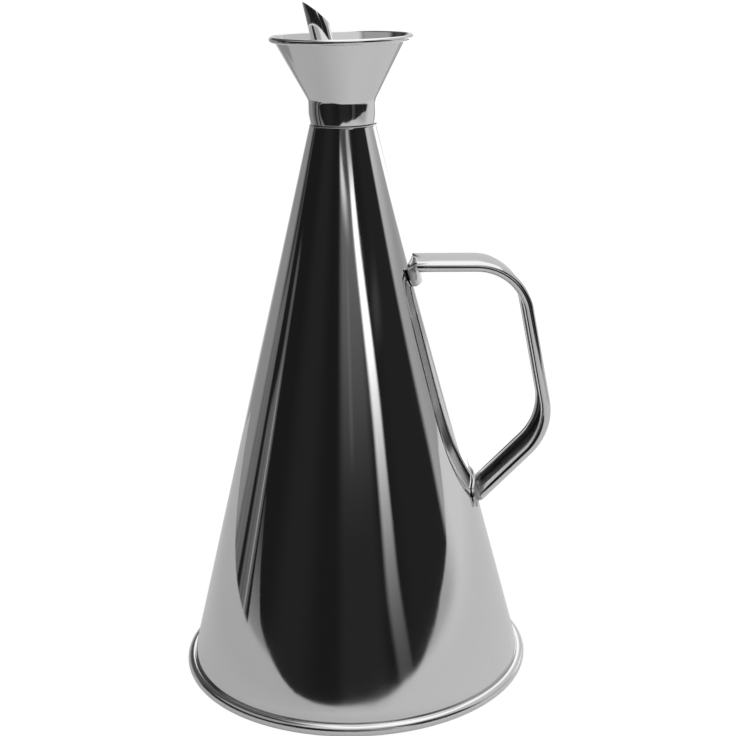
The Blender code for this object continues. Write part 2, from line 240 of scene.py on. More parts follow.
class Graph:
    """A node tree that is written from Python."""

    def __init__(self, tree: bpy.types.NodeTree) -> None:
        """Takes a node tree and empties it."""
        self.tree = tree
        tree.nodes.clear()

    def node(self, kind: str, settings: dict[str, Any], inputs: dict[Any, Value]) -> bpy.types.Node:
        """Adds one node.

        Args:
            kind: the node's type.
            settings: its properties, set first.
            inputs: values or links of its sockets, by name or number.

        Returns:
            The node.
        """
        node = self.tree.nodes.new(kind)
        for name, setting in settings.items():
            setattr(node, name, setting)
        for name, value in inputs.items():
            if isinstance(value, Signal):
                self.tree.links.new(value.socket, node.inputs[name])
            else:
                node.inputs[name].default_value = value
        return node

    def add(
        self, kind: str, settings: dict[str, Any], inputs: dict[Any, Value], output: Union[str, int] = 0
    ) -> Signal:
        """Adds one node and reads one of its outputs, by name or number."""
        return Signal(self, self.node(kind, settings, inputs).outputs[output])

    def place(self) -> Signal:
        """The point on the surface in the object's own metres."""
        return self.add("ShaderNodeTexCoord", {}, {}, "Object")

    def own(self, name: str) -> Signal:
        """A vector that the mesh carries under a name."""
        return self.add("ShaderNodeAttribute", {"attribute_name": name}, {}, "Vector")

    def vectors(self, operation: str, first: Signal, second: Value, output: str) -> Signal:
        """Adds one Vector Math node.

        Args:
            operation: the node's operation.
            first: its first vector.
            second: its second vector.
            output: "Vector" or "Value", the result that is read.

        Returns:
            The result.
        """
        return self.add("ShaderNodeVectorMath", {"operation": operation}, {0: first, 1: second}, output)

    def apart(self, vector: Signal) -> list[Signal]:
        """The three parts of a vector."""
        parts = self.node("ShaderNodeSeparateXYZ", {}, {0: vector})
        return [Signal(self, part) for part in parts.outputs]

    def together(self, x: Value, y: Value, z: Value) -> Signal:
        """A vector from its three parts."""
        return self.add("ShaderNodeCombineXYZ", {}, {0: x, 1: y, 2: z})

    def noise(self, vector: Signal, scale: float, detail: float) -> Signal:
        """Smooth noise.

        Args:
            vector: where it is read.
            scale: its waves in a metre.
            detail: how many finer octaves it has.

        Returns:
            The noise, from 0 to 1.
        """
        inputs = {"Vector": vector, "Scale": scale, "Detail": detail}
        return self.add("ShaderNodeTexNoise", {}, inputs)

    def shade(self, dark: Value, light: Value, factor: Signal) -> Signal:
        """A colour between two.

        Args:
            dark: the colour at 0, with its alpha.
            light: the colour at 1, with its alpha.
            factor: the place between them.

        Returns:
            The mixed colour.
        """
        inputs = {"Factor": factor, 6: dark, 7: light}
        return self.add("ShaderNodeMix", {"data_type": "RGBA"}, inputs, 2)

    def bump(self, height: Signal, depth: float, strength: float) -> Signal:
        """A normal bent by a height.

        Args:
            height: the height, from 0 to 1.
            depth: metres between height 0 and 1.
            strength: how far the normal follows.

        Returns:
            The bent normal.
        """
        inputs = {"Height": height, "Distance": depth, "Strength": strength}
        return self.add("ShaderNodeBump", {}, inputs)

    def metal(self, colour: Signal, rough: Signal, normal: Signal) -> Signal:
        """A metal's shader.

        Args:
            colour: what it reflects.
            rough: its roughness.
            normal: its bent normal.

        Returns:
            The shader.
        """
        inputs = {"Base Color": colour, "Metallic": 1.0, "Roughness": rough, "Normal": normal}
        return self.add("ShaderNodeBsdfPrincipled", {}, inputs)


def grey(level: float) -> Colour:
    """A neutral colour with full alpha."""
    return (level, level, level, 1.0)


# Surfaces


def arc(centre: tuple, radius: float, start: float, end: float, count: int) -> np.ndarray:
    """Points on an arc: centre + radius * (cos t, sin t).

    Args:
        centre: the arc's centre in the profile plane.
        radius: its radius.
        start: the angle of its first point.
        end: the angle of its last point.
        count: the number of points.

    Returns:
        An array of count rows.
    """
    turn = np.linspace(start, end, count)
    return np.stack([centre[0] + radius * np.cos(turn), centre[1] + radius * np.sin(turn)], 1)


def line(start: tuple, end: tuple, count: int) -> np.ndarray:
    """Points spread evenly on a line: start + t * (end - start), with both ends."""
    share = np.linspace(0.0, 1.0, count)[:, None]
    return np.asarray(start) + share * (np.asarray(end) - np.asarray(start))


def joined(*stretches: Any) -> np.ndarray:
    """One outline from stretches of points, each an array or a list of pairs."""
    return np.concatenate([np.asarray(stretch) for stretch in stretches])


def angles(steps: int) -> np.ndarray:
    """The angles of evenly spread places round a ring: k * 2 pi / steps."""
    return np.arange(steps) * (FULL_TURN / steps)


def waves(around: np.ndarray, z: Union[np.ndarray, float], table: tuple[Wave, ...]) -> np.ndarray:
    """An unevenness round the axis: the sum of strength * sin(count * around + climb * z + start).

    Args:
        around: angles round the axis.
        z: heights.
        table: the waves.

    Returns:
        The sum at each place.
    """
    return sum(
        strength * np.sin(count * around + climb * z + start) for strength, count, climb, start in table
    )


def turned_grid(profile: np.ndarray, steps: int) -> np.ndarray:
    """Turns a profile of (radius, height) points round Z: (r cos a, r sin a, h).

    Args:
        profile: the points of the section, one row each.
        steps: the number of places round the axis.

    Returns:
        Points in an array of profile points by steps by 3.
    """
    angle = angles(steps)
    radius, height = profile[:, :1], profile[:, 1:]
    x = radius * np.cos(angle)
    y = radius * np.sin(angle)
    return np.stack([x, y, np.broadcast_to(height, x.shape)], -1)


def grid_faces(rows: int, columns: int, wrap_rows: bool, wrap_columns: bool) -> np.ndarray:
    """Four corners of each cell of a grid, wrapped where the grid closes on itself.

    Args:
        rows: points in the first direction.
        columns: points in the second direction.
        wrap_rows: whether the last row joins the first.
        wrap_columns: whether the last column joins the first.

    Returns:
        An array of cells by 4 point numbers.
    """
    i = np.arange(rows if wrap_rows else rows - 1)[:, None]
    j = np.arange(columns if wrap_columns else columns - 1)[None, :]
    below, beside = (i + 1) % rows, (j + 1) % columns
    corners = [i * columns + j, i * columns + beside, below * columns + beside, below * columns + j]
    return np.stack([np.broadcast_to(c, (i.size, j.size)) for c in corners], -1).reshape(-1, 4)


def merged(blocks: list[tuple[np.ndarray, np.ndarray]]) -> tuple[np.ndarray, list[np.ndarray]]:
    """Puts blocks of points and faces together.

    Args:
        blocks: pairs of points and of the faces whose numbers count them.

    Returns:
        All points, and the faces with each block's numbers moved past the points before it.
    """
    points, faces, count = [], [], 0
    for block, cells in blocks:
        points.append(block.reshape(-1, 3))
        faces.append(cells + count)
        count += len(points[-1])
    return np.concatenate(points), faces


def tidy_mesh(mesh: bpy.types.Mesh, sharp: float, turn_out: bool = True) -> None:
    """Merges doubles, closes poles, turns the faces out and shades round walls smooth.

    Args:
        mesh: the mesh to finish.
        sharp: the angle past which an edge stays sharp.
        turn_out: whether the shell is closed, so that its faces can be turned outwards.
    """
    shape = bmesh.new()
    shape.from_mesh(mesh)
    bmesh.ops.remove_doubles(shape, verts=shape.verts, dist=MERGE_DISTANCE)
    loose = [vert for vert in shape.verts if not vert.link_faces]
    bmesh.ops.delete(shape, geom=loose, context="VERTS")
    if turn_out:
        bmesh.ops.recalc_face_normals(shape, faces=shape.faces)
    shape.to_mesh(mesh)
    shape.free()
    mesh.shade_smooth()
    mesh.set_sharp_from_angle(angle=sharp)


def make_mesh(name: str, points: np.ndarray, faces: list[np.ndarray]) -> bpy.types.Mesh:
    """Puts points and faces into a mesh.

    Args:
        name: the mesh's name.
        points: an array of points by 3.
        faces: arrays of faces by corners, whose numbers count the points.

    Returns:
        The mesh.
    """
    mesh = bpy.data.meshes.new(name)
    cells = [cell for block in faces for cell in block.tolist()]
    mesh.from_pydata(points.reshape(-1, 3).tolist(), [], cells)
    return mesh


def round_shell(name: str, points: np.ndarray, closed: bool = True, sharp: float = SHARP) -> bpy.types.Mesh:
    """Makes a shell from a grid that goes round an axis.

    Args:
        name: the mesh's name.
        points: an array of section points by places round the axis by 3.
        closed: whether the section is a ring, and doesn't run from the axis to the axis.
        sharp: the angle past which an edge stays sharp.

    Returns:
        The mesh.
    """
    rows, steps = points.shape[:2]
    mesh = make_mesh(name, points, [grid_faces(rows, steps, closed, True)])
    tidy_mesh(mesh, sharp)
    return mesh


# Finishes


@dataclass(frozen=True)
class Finish:
    """A surface finish, whose shader each kind of finish writes for itself."""

    name: str

    def shader(self, graph: Graph) -> Signal:
        """Adds the finish's nodes and returns their shader."""
        raise NotImplementedError

    def make(self) -> bpy.types.Material:
        """Builds the material.

        Returns:
            The material.
        """
        material = bpy.data.materials.new(self.name)
        material.use_nodes = True
        graph = Graph(material.node_tree)
        graph.node("ShaderNodeOutputMaterial", {}, {"Surface": self.shader(graph)})
        return material


@dataclass(frozen=True)
class PolishedSteel(Finish):
    """Polished stainless sheet: near mirror, with buffing lines, smears and fine scratches.

    Fields that end in scale are waves in a metre, those in round the share of its change that a
    pattern keeps along its lines, and those in rough what is added to the roughness. A seam runs up
    the side at +X. The steel is duller above a height, inside a rolled edge and round the spot
    welds, each of which is a raised ring round a dull core in a wider haze. Inside the rolled edge
    its colour is also darkened, a painted shade. The ring is a band: its rising edge, its falling
    edge, and half the width of each.
    """

    level: float = 0.74
    tone_fall: float = 0.03
    tone_rise: float = 0.02
    roughness: float = 0.03
    cloud_scale: float = 28.0
    smear: float = 0.03
    smear_edge: Edge = (0.42, 0.72)
    wipe_scale: float = 520.0
    wipe_round: float = 0.02
    wipe_rough: float = 0.012
    buffing: float = 0.05
    buffing_scale: float = 5200.0
    buffing_round: float = 0.05
    scratches: float = 0.12
    scratch_scale: float = 2600.0
    scratch_way: tuple[float, float, float] = (0.35, 0.22, 0.16)
    scratch_edge: Edge = (0.70, 0.78)
    scratch_rough: float = 0.03
    relief: float = 0.00002
    relief_strength: float = 0.35
    seam: bool = False
    seam_edge: Edge = (0.0225, 0.00875)
    seam_scale: float = 900.0
    seam_rough: float = 0.10
    seam_uneven: float = 0.08
    seam_relief: float = 0.5
    dull_above: float = math.inf
    dull_run: float = 0.0004
    dull_rough: float = 0.25
    rough_with_painted_shade_inside: bool = False
    inside_edge: Edge = (0.0, 0.0002)
    inside_rough: float = 0.24
    inside_painted_shade: float = 0.7
    welds: tuple[tuple[float, float, float], ...] = ()
    weld_ring: tuple[float, float, float] = (0.0009, 0.0017, 0.0004)
    weld_core: Edge = (0.0011, 0.0007)
    weld_haze: Edge = (0.0115, 0.0065)
    weld_rough: tuple[float, float, float] = (0.16, 0.10, 0.05)
    weld_relief: float = 0.6

    def shader(self, graph: Graph) -> Signal:
        """Adds the polish, its marks, and the duller places that the piece has.

        Args:
            graph: the material's graph.

        Returns:
            The shader.
        """
        place = graph.place()
        x, y, z = graph.apart(place)
        around = y.arctangent(x)

        cloud = graph.noise(place, self.cloud_scale, 4.0)
        wiped = graph.together(around * self.wipe_round, around * self.wipe_round, z)
        wipe = graph.noise(wiped, self.wipe_scale, 2.0)
        buffed = graph.together(x * self.buffing_round, y * self.buffing_round, z)
        buff = graph.noise(buffed, self.buffing_scale, 2.0)
        first, second, third = self.scratch_way
        scratched = graph.together(x + y * first, y - z * second, z * third)
        scratch = graph.noise(scratched, self.scratch_scale, 1.0).rise(*self.scratch_edge)
        rough = self.roughness + cloud.rise(*self.smear_edge) * self.smear
        rough = rough + wipe * self.wipe_rough + scratch * self.scratch_rough
        darker, lighter = grey(self.level - self.tone_fall), grey(self.level + self.tone_rise)
        colour = graph.shade(darker, lighter, cloud * 0.5 + wipe * 0.5)
        height = buff * self.buffing + scratch * self.scratches

        if self.seam:
            weld = abs(around).rise(*self.seam_edge)
            bead = graph.noise(graph.together(0.0, 0.0, z), self.seam_scale, 1.0)
            rough = rough + weld * (self.seam_rough + self.seam_uneven * bead)
            height = height + weld * (self.seam_relief + bead)
        if self.dull_above < math.inf:
            rough = rough + z.rise(self.dull_above, self.dull_above + self.dull_run) * self.dull_rough
        # Inside the rolled edge: a rougher finish, and a painted shade that darkens the colour.
        if self.rough_with_painted_shade_inside:
            away = graph.vectors("SUBTRACT", place, graph.own(MIDDLE), "Vector")
            inside = graph.vectors("DOT_PRODUCT", away, graph.own(INWARD), "Value")
            inside = inside.rise(*self.inside_edge)
            rough = rough + inside * self.inside_rough
            colour = graph.shade(colour, grey(self.level * self.inside_painted_shade), inside)
        for spot in self.welds:
            distance = graph.vectors("DISTANCE", place, spot, "Value")
            ring = distance.band(*self.weld_ring)
            marks = (ring, distance.rise(*self.weld_core), distance.rise(*self.weld_haze))
            for mark, dulled in zip(marks, self.weld_rough):
                rough = rough + mark * dulled
            height = height + ring * self.weld_relief

        normal = graph.bump(height, self.relief, self.relief_strength)
        return graph.metal(colour, rough, normal)


@dataclass(frozen=True)
class SatinSteel(Finish):
    """Turned steel that was left off the buffing wheel: fine rings from the lathe."""

    level: float = 0.66
    tone_fall: float = 0.05
    tone_rise: float = 0.04
    roughness: float = 0.24
    ring_scale: float = 4200.0
    ring_rough: float = 0.10
    cloud_scale: float = 90.0
    cloud_rough: float = 0.08
    relief: float = 0.00003
    relief_strength: float = 0.5

    def shader(self, graph: Graph) -> Signal:
        """Adds the rings, which are noise read by radius and height, and a soft cloud.

        Args:
            graph: the material's graph.

        Returns:
            The shader.
        """
        place = graph.place()
        x, y, z = graph.apart(place)
        radius = (x * x + y * y) ** 0.5
        rings = graph.noise(graph.together(radius, 0.0, z), self.ring_scale, 2.0)
        cloud = graph.noise(place, self.cloud_scale, 3.0)
        rough = self.roughness + rings * self.ring_rough + cloud * self.cloud_rough
        colour = graph.shade(grey(self.level - self.tone_fall), grey(self.level + self.tone_rise), cloud)
        return graph.metal(colour, rough, graph.bump(rings, self.relief, self.relief_strength))


@dataclass(frozen=True)
class Solder(Finish):
    """Bright tin solder: soft, a little lumpy and duller than the sheet."""

    level: float = 0.70
    tone_fall: float = 0.08
    tone_rise: float = 0.04
    roughness: float = 0.22
    lump_scale: float = 900.0
    lump_rough: float = 0.15
    grain_scale: float = 5000.0
    grain_rough: float = 0.06
    grain_relief: float = 0.2
    relief: float = 0.00012
    relief_strength: float = 0.6

    def shader(self, graph: Graph) -> Signal:
        """Adds the lumps and a fine grain on them.

        Args:
            graph: the material's graph.

        Returns:
            The shader.
        """
        place = graph.place()
        lumps = graph.noise(place, self.lump_scale, 2.0)
        grain = graph.noise(place, self.grain_scale, 3.0)
        rough = self.roughness + lumps * self.lump_rough + grain * self.grain_rough
        colour = graph.shade(grey(self.level - self.tone_fall), grey(self.level + self.tone_rise), lumps)
        height = lumps + grain * self.grain_relief
        return graph.metal(colour, rough, graph.bump(height, self.relief, self.relief_strength))


@dataclass(frozen=True)
class Silicone(Finish):
    """Milky silicone of the stopper's ring, matt and a little dusty."""

    colour: Colour = (0.74, 0.73, 0.70, 1.0)
    worn: Colour = (0.60, 0.58, 0.54, 1.0)
    worn_scale: float = 240.0
    worn_edge: Edge = (0.4, 0.75)
    roughness: float = 0.48
    grain_scale: float = 6000.0
    grain_rough: float = 0.12
    relief: float = 0.00002
    relief_strength: float = 0.4

    def shader(self, graph: Graph) -> Signal:
        """Adds the worn places and the grain.

        Args:
            graph: the material's graph.

        Returns:
            The shader.
        """
        place = graph.place()
        cloud = graph.noise(place, self.worn_scale, 3.0)
        grain = graph.noise(place, self.grain_scale, 2.0)
        inputs = {
            "Base Color": graph.shade(self.colour, self.worn, cloud.rise(*self.worn_edge)),
            "Roughness": self.roughness + grain * self.grain_rough,
            "Normal": graph.bump(grain, self.relief, self.relief_strength),
        }
        return graph.add("ShaderNodeBsdfPrincipled", {}, inputs)


@dataclass(frozen=True)
class TableTop(Finish):
    """The staged table's matt top, with a little light of its own.

    It is painted light and shade. It gets lighter towards the right, by steps that each have a level
    and the places where they start and end. It is in painted dusk far off at the front right, and past
    its left end its level falls off as 1 over the distance, a painted falloff. Places are metres, and
    around is degrees from the front.
    """

    level: float = 0.545
    lighter: tuple[tuple[float, float, float], ...] = ((0.155, -0.20, 0.02), (0.10, 0.25, 0.60))
    dusk: float = 0.40
    dusk_away: Edge = (0.35, 0.75)
    dusk_around: Edge = (98, 72)
    dusk_across: Edge = (0.30, 0.60)
    far_light: float = 0.125
    far_start: float = 0.36
    far_edge: Edge = (-0.385, -0.33)
    glow: float = 0.27

    def shader(self, graph: Graph) -> Signal:
        """Adds the level over the table and the matt shader that shows it.

        Args:
            graph: the material's graph.

        Returns:
            The shader.
        """
        across, deep, _ = graph.apart(graph.place())
        around = across.arctangent(-deep) * DEGREES
        away = (across * across + deep * deep) ** 0.5
        # Painted light and shade: lighter steps to the right, dusk at the front right, and a 1 over
        # distance falloff past the left end.
        level = self.level
        for more, low, high in self.lighter:
            level = level + across.rise(low, high) * more
        dusk = away.rise(*self.dusk_away) * around.rise(*self.dusk_around) * across.rise(*self.dusk_across)
        level = level * (1.0 - dusk * self.dusk)
        far = self.far_light / (-across).largest(self.far_start)
        level = far + (level - far) * across.rise(*self.far_edge)
        colour = graph.shade(grey(0.0), grey(1.0), level)
        inputs = {
            "Base Color": colour,
            "Roughness": 1.0,
            "Specular IOR Level": 0.0,
            "Emission Color": colour,
            "Emission Strength": self.glow,
        }
        return graph.add("ShaderNodeBsdfPrincipled", {}, inputs)


@dataclass(frozen=True)
class WhiteFloor(Finish):
    """The staged floor: white light, with a small share of matt white that takes the can's shadow."""

    matt: float = 0.95
    glow: float = 1.03
    share: Change = (0.95, 1.0, 0.08, 0.20)

    def shader(self, graph: Graph) -> Signal:
        """Mixes the matt white and the light by the distance from the can's axis.

        Args:
            graph: the material's graph.

        Returns:
            The shader.
        """
        x, y, _ = graph.apart(graph.place())
        share = ((x * x + y * y) ** 0.5).change(*self.share)
        matt = graph.add("ShaderNodeBsdfDiffuse", {}, {"Color": grey(self.matt)})
        white = graph.add("ShaderNodeEmission", {}, {"Color": grey(1.0), "Strength": self.glow})
        return graph.add("ShaderNodeMixShader", {}, {0: share, 1: matt, 2: white})


def place_piece(
    mesh: bpy.types.Mesh, body: Body, slot: Slot, finish: Finish, *nodes: str
) -> bpy.types.Object:
    """Puts a finished mesh into the scene and dresses it.

    Args:
        mesh: the piece's mesh, in place.
        body: the body that it moves with.
        slot: the record's slot for its finish; not used.
        finish: its finish.
        *nodes: the CAD nodes that it stands for.

    Returns:
        The piece.
    """
    piece = bpy.data.objects.new(mesh.name, mesh)
    bpy.context.scene.collection.objects.link(piece)
    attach(piece, body.value)
    if nodes:
        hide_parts(*nodes)
    mesh.materials.append(finish.make())
    return piece


# The can


@dataclass
class CanBody:
    """The sheet cone, the base with its curled rim, and the soldered neck.

    A crown is a share of half the sheet, the flare's bulge one of the wall, and a knee's height one
    of the flare. The ripple fades out over still_run above the foot and below the lip.
    """

    base_radius: float = 0.0700
    foot_radius: float = 0.0669
    neck_radius: float = 0.01285
    neck_height: float = 0.2205
    hem_height: float = 0.0050
    sheet: float = 0.0007
    bead_radius: float = 0.00235
    recess: float = 0.0012
    ring_width: float = 0.0020
    step_width: float = 0.0030
    seat: float = 0.0003
    ferrule_bore: float = 0.01115
    ferrule_wall: float = 0.0006
    ferrule_top: float = 0.2205
    ferrule_bottom: float = 0.2093
    flare: float = 0.0012
    flare_bulge: float = 0.4
    flare_outer_knee: float = 0.45
    flare_inner_knee: float = 0.5
    solder_gap: float = 0.00003
    solder_depth: float = 0.0012
    solder_rise: float = 0.00018
    solder_uneven: float = 0.00004
    solder_waves: tuple[Wave, ...] = ((1.0, 7, 0, 1.0), (0.7, 13, 0, 3.0), (0.5, 23, 0, 0.0))
    solder_sharp: float = math.radians(40)
    rim_gap: float = 0.00012
    panel_crown: float = 0.15
    ring_crown: float = 0.20
    under_crown: float = 0.25
    ripple: float = 0.00003
    ripple_waves: tuple[Wave, ...] = ((1.0, 3, 31, 0.8), (1.0, 5, -47, 2.1), (0.6, 8, 83, 4.0))
    still_foot: float = 0.006
    still_lip: float = 0.002
    still_run: float = 0.02
    lip_rings: tuple[float, ...] = (0.0011, 0.0033, 0.0089)
    dull_lip: float = 0.0006
    steps: int = 256
    neck_steps: int = 160

    @property
    def slope(self) -> float:
        """How much the cone's radius grows for each metre down."""
        return (self.foot_radius - self.neck_radius) / (self.neck_height - self.hem_height)

    @property
    def level_wall(self) -> float:
        """The slanting sheet's thickness, measured level."""
        return self.sheet / math.cos(math.atan(self.slope))

    def radius_at(self, height: np.ndarray) -> np.ndarray:
        """Outer radius of the cone at a height: neck radius + fall * slope."""
        return self.neck_radius + (self.neck_height - height) * self.slope

    def rippled(self, points: np.ndarray) -> np.ndarray:
        """Moves the rolled sheet in and out: r + depth / 3 * waves, fading to 0 at its foot and lip.

        Args:
            points: points of the cone.

        Returns:
            The moved points.
        """
        x, y, z = points[..., 0], points[..., 1], points[..., 2]
        still = np.clip((z - self.still_foot) / self.still_run, 0, 1)
        still *= np.clip((self.neck_height - self.still_lip - z) / self.still_run, 0, 1)
        wave = waves(np.arctan2(y, x), z, self.ripple_waves) * still
        scale = 1 + self.ripple * wave / (3 * np.hypot(x, y))
        return np.stack([x * scale, y * scale, z], -1)

    def cone_mesh(self) -> bpy.types.Mesh:
        """The cone's shell: a rounded lip, the slant outside, the upright hem and the slant inside.

        Rings close under the lip keep its smooth shading from spreading down the slant.

        Returns:
            The mesh.
        """
        half_angle = math.atan(self.slope)
        lip = self.sheet / 2
        centre = (self.neck_radius - self.level_wall / 2, self.neck_height - lip)
        rounded = arc(centre, lip, math.pi - half_angle, -half_angle, 9)
        top, foot = rounded[-1], (self.foot_radius, self.hem_height)
        hem_bottom = self.sheet + self.seat
        hem_inside = self.foot_radius - self.sheet
        profile = joined(
            rounded,
            top + np.outer(self.lip_rings, np.subtract(foot, top)),
            line(top, foot, 60)[1:],
            line(foot, (self.foot_radius, hem_bottom), 4)[1:],
            [(hem_inside, hem_bottom)],
            line((hem_inside, self.hem_height), rounded[0], 24)[:-1],
        )
        return round_shell("cone_sheet", self.rippled(turned_grid(profile, self.steps)))

    def base_mesh(self) -> bpy.types.Mesh:
        """The base disc: raised panel, sloped step, flat ring, and a rim curled round the foot.

        Returns:
            The mesh.
        """
        centre = (self.base_radius - self.bead_radius, self.bead_radius)
        # The rim is curled until the edge of it that leads is rim_gap away from the cone.
        reach = self.foot_radius + self.rim_gap - centre[0]
        leading = self.bead_radius - self.sheet if reach > 0 else self.bead_radius
        turn = math.acos(reach / leading)
        ring_inner = centre[0] - self.ring_width
        panel_edge = ring_inner - self.step_width
        panel_top = self.recess + self.sheet
        soft = self.sheet / 2
        profile = joined(
            line((0.0, panel_top), (panel_edge - soft, panel_top), 10),
            [(panel_edge, panel_top - soft * self.panel_crown)],
            [(ring_inner - soft, self.sheet + soft * self.ring_crown)],
            arc(centre, self.bead_radius - self.sheet, -QUARTER_TURN, turn, 30),
            arc(centre, self.bead_radius, turn, -QUARTER_TURN, 44),
            [(ring_inner, 0.0)],
            [(ring_inner - soft, soft * self.under_crown)],
            [(panel_edge + soft, self.recess - soft * self.under_crown)],
            line((panel_edge, self.recess), (0.0, self.recess), 10),
        )
        return round_shell("base_disc", turned_grid(profile, self.steps), closed=False)

    def ferrule_mesh(self) -> bpy.types.Mesh:
        """The neck tube: straight, with rounded top edges and a flared lower end.

        Returns:
            The mesh.
        """
        bore, bottom, wall = self.ferrule_bore, self.ferrule_bottom, self.ferrule_wall
        outer = bore + wall
        half = wall / 2
        flare_top = bottom + self.flare
        bulge = wall * self.flare_bulge
        profile = joined(
            arc((bore + half, self.ferrule_top - half), half, math.pi, 0.0, 9),
            line((outer, self.ferrule_top - wall), (outer, flare_top), 6),
            [(outer + bulge, bottom + self.flare * self.flare_outer_knee)],
            [(outer + wall, bottom)],
            [(outer, bottom)],
            [(bore + bulge, bottom + self.flare * self.flare_inner_knee)],
            line((bore, flare_top), (bore, self.ferrule_top - half), 6)[:-1],
        )
        return round_shell("neck_tube", turned_grid(profile, self.neck_steps))

    def solder_mesh(self) -> bpy.types.Mesh:
        """The solder in the seam between the cone's mouth and the neck tube.

        Its top is a hollow, z = top + rise (2 t - 1)^2 across the seam, a little uneven round it.

        Returns:
            The mesh.
        """
        top = self.neck_height - self.sheet / 2
        low = top - self.solder_depth
        inner = self.ferrule_bore + self.ferrule_wall + self.solder_gap
        outer = self.radius_at(top) - self.level_wall - self.solder_gap
        foot = self.radius_at(low) - self.level_wall - self.solder_gap
        share = np.linspace(0.0, 1.0, 9)
        hollow = [inner + share * (outer - inner), top + self.solder_rise * (2 * share - 1) ** 2]
        profile = joined(np.stack(hollow, 1), [(foot, low), (inner, low)])
        points = turned_grid(profile, self.neck_steps)
        uneven = waves(np.arctan2(points[..., 1], points[..., 0]), 0.0, self.solder_waves)
        points[..., 2] += self.solder_uneven * uneven * (points[..., 2] > low)
        return round_shell("neck_solder", points, sharp=self.solder_sharp)

    def dress(self) -> list[bpy.types.Object]:
        """Makes the pieces and gives them their finishes.

        Returns:
            The pieces.
        """
        sheet = PolishedSteel("polished_cone_sheet", seam=True, dull_above=self.neck_height - self.dull_lip)
        pressed = PolishedSteel("polished_base", roughness=0.15, smear=0.06)
        tube = PolishedSteel("polished_neck", roughness=0.08, smear=0.05)
        solder = Solder("neck_solder_tin")
        return [
            place_piece(self.cone_mesh(), Body.CAN, Slot.POLISHED, sheet, "body_cone"),
            place_piece(self.base_mesh(), Body.CAN, Slot.POLISHED, pressed, "base_plate"),
            place_piece(self.ferrule_mesh(), Body.CAN, Slot.SATIN, tube, "neck_ferrule"),
            place_piece(self.solder_mesh(), Body.CAN, Slot.SATIN, solder),
        ]


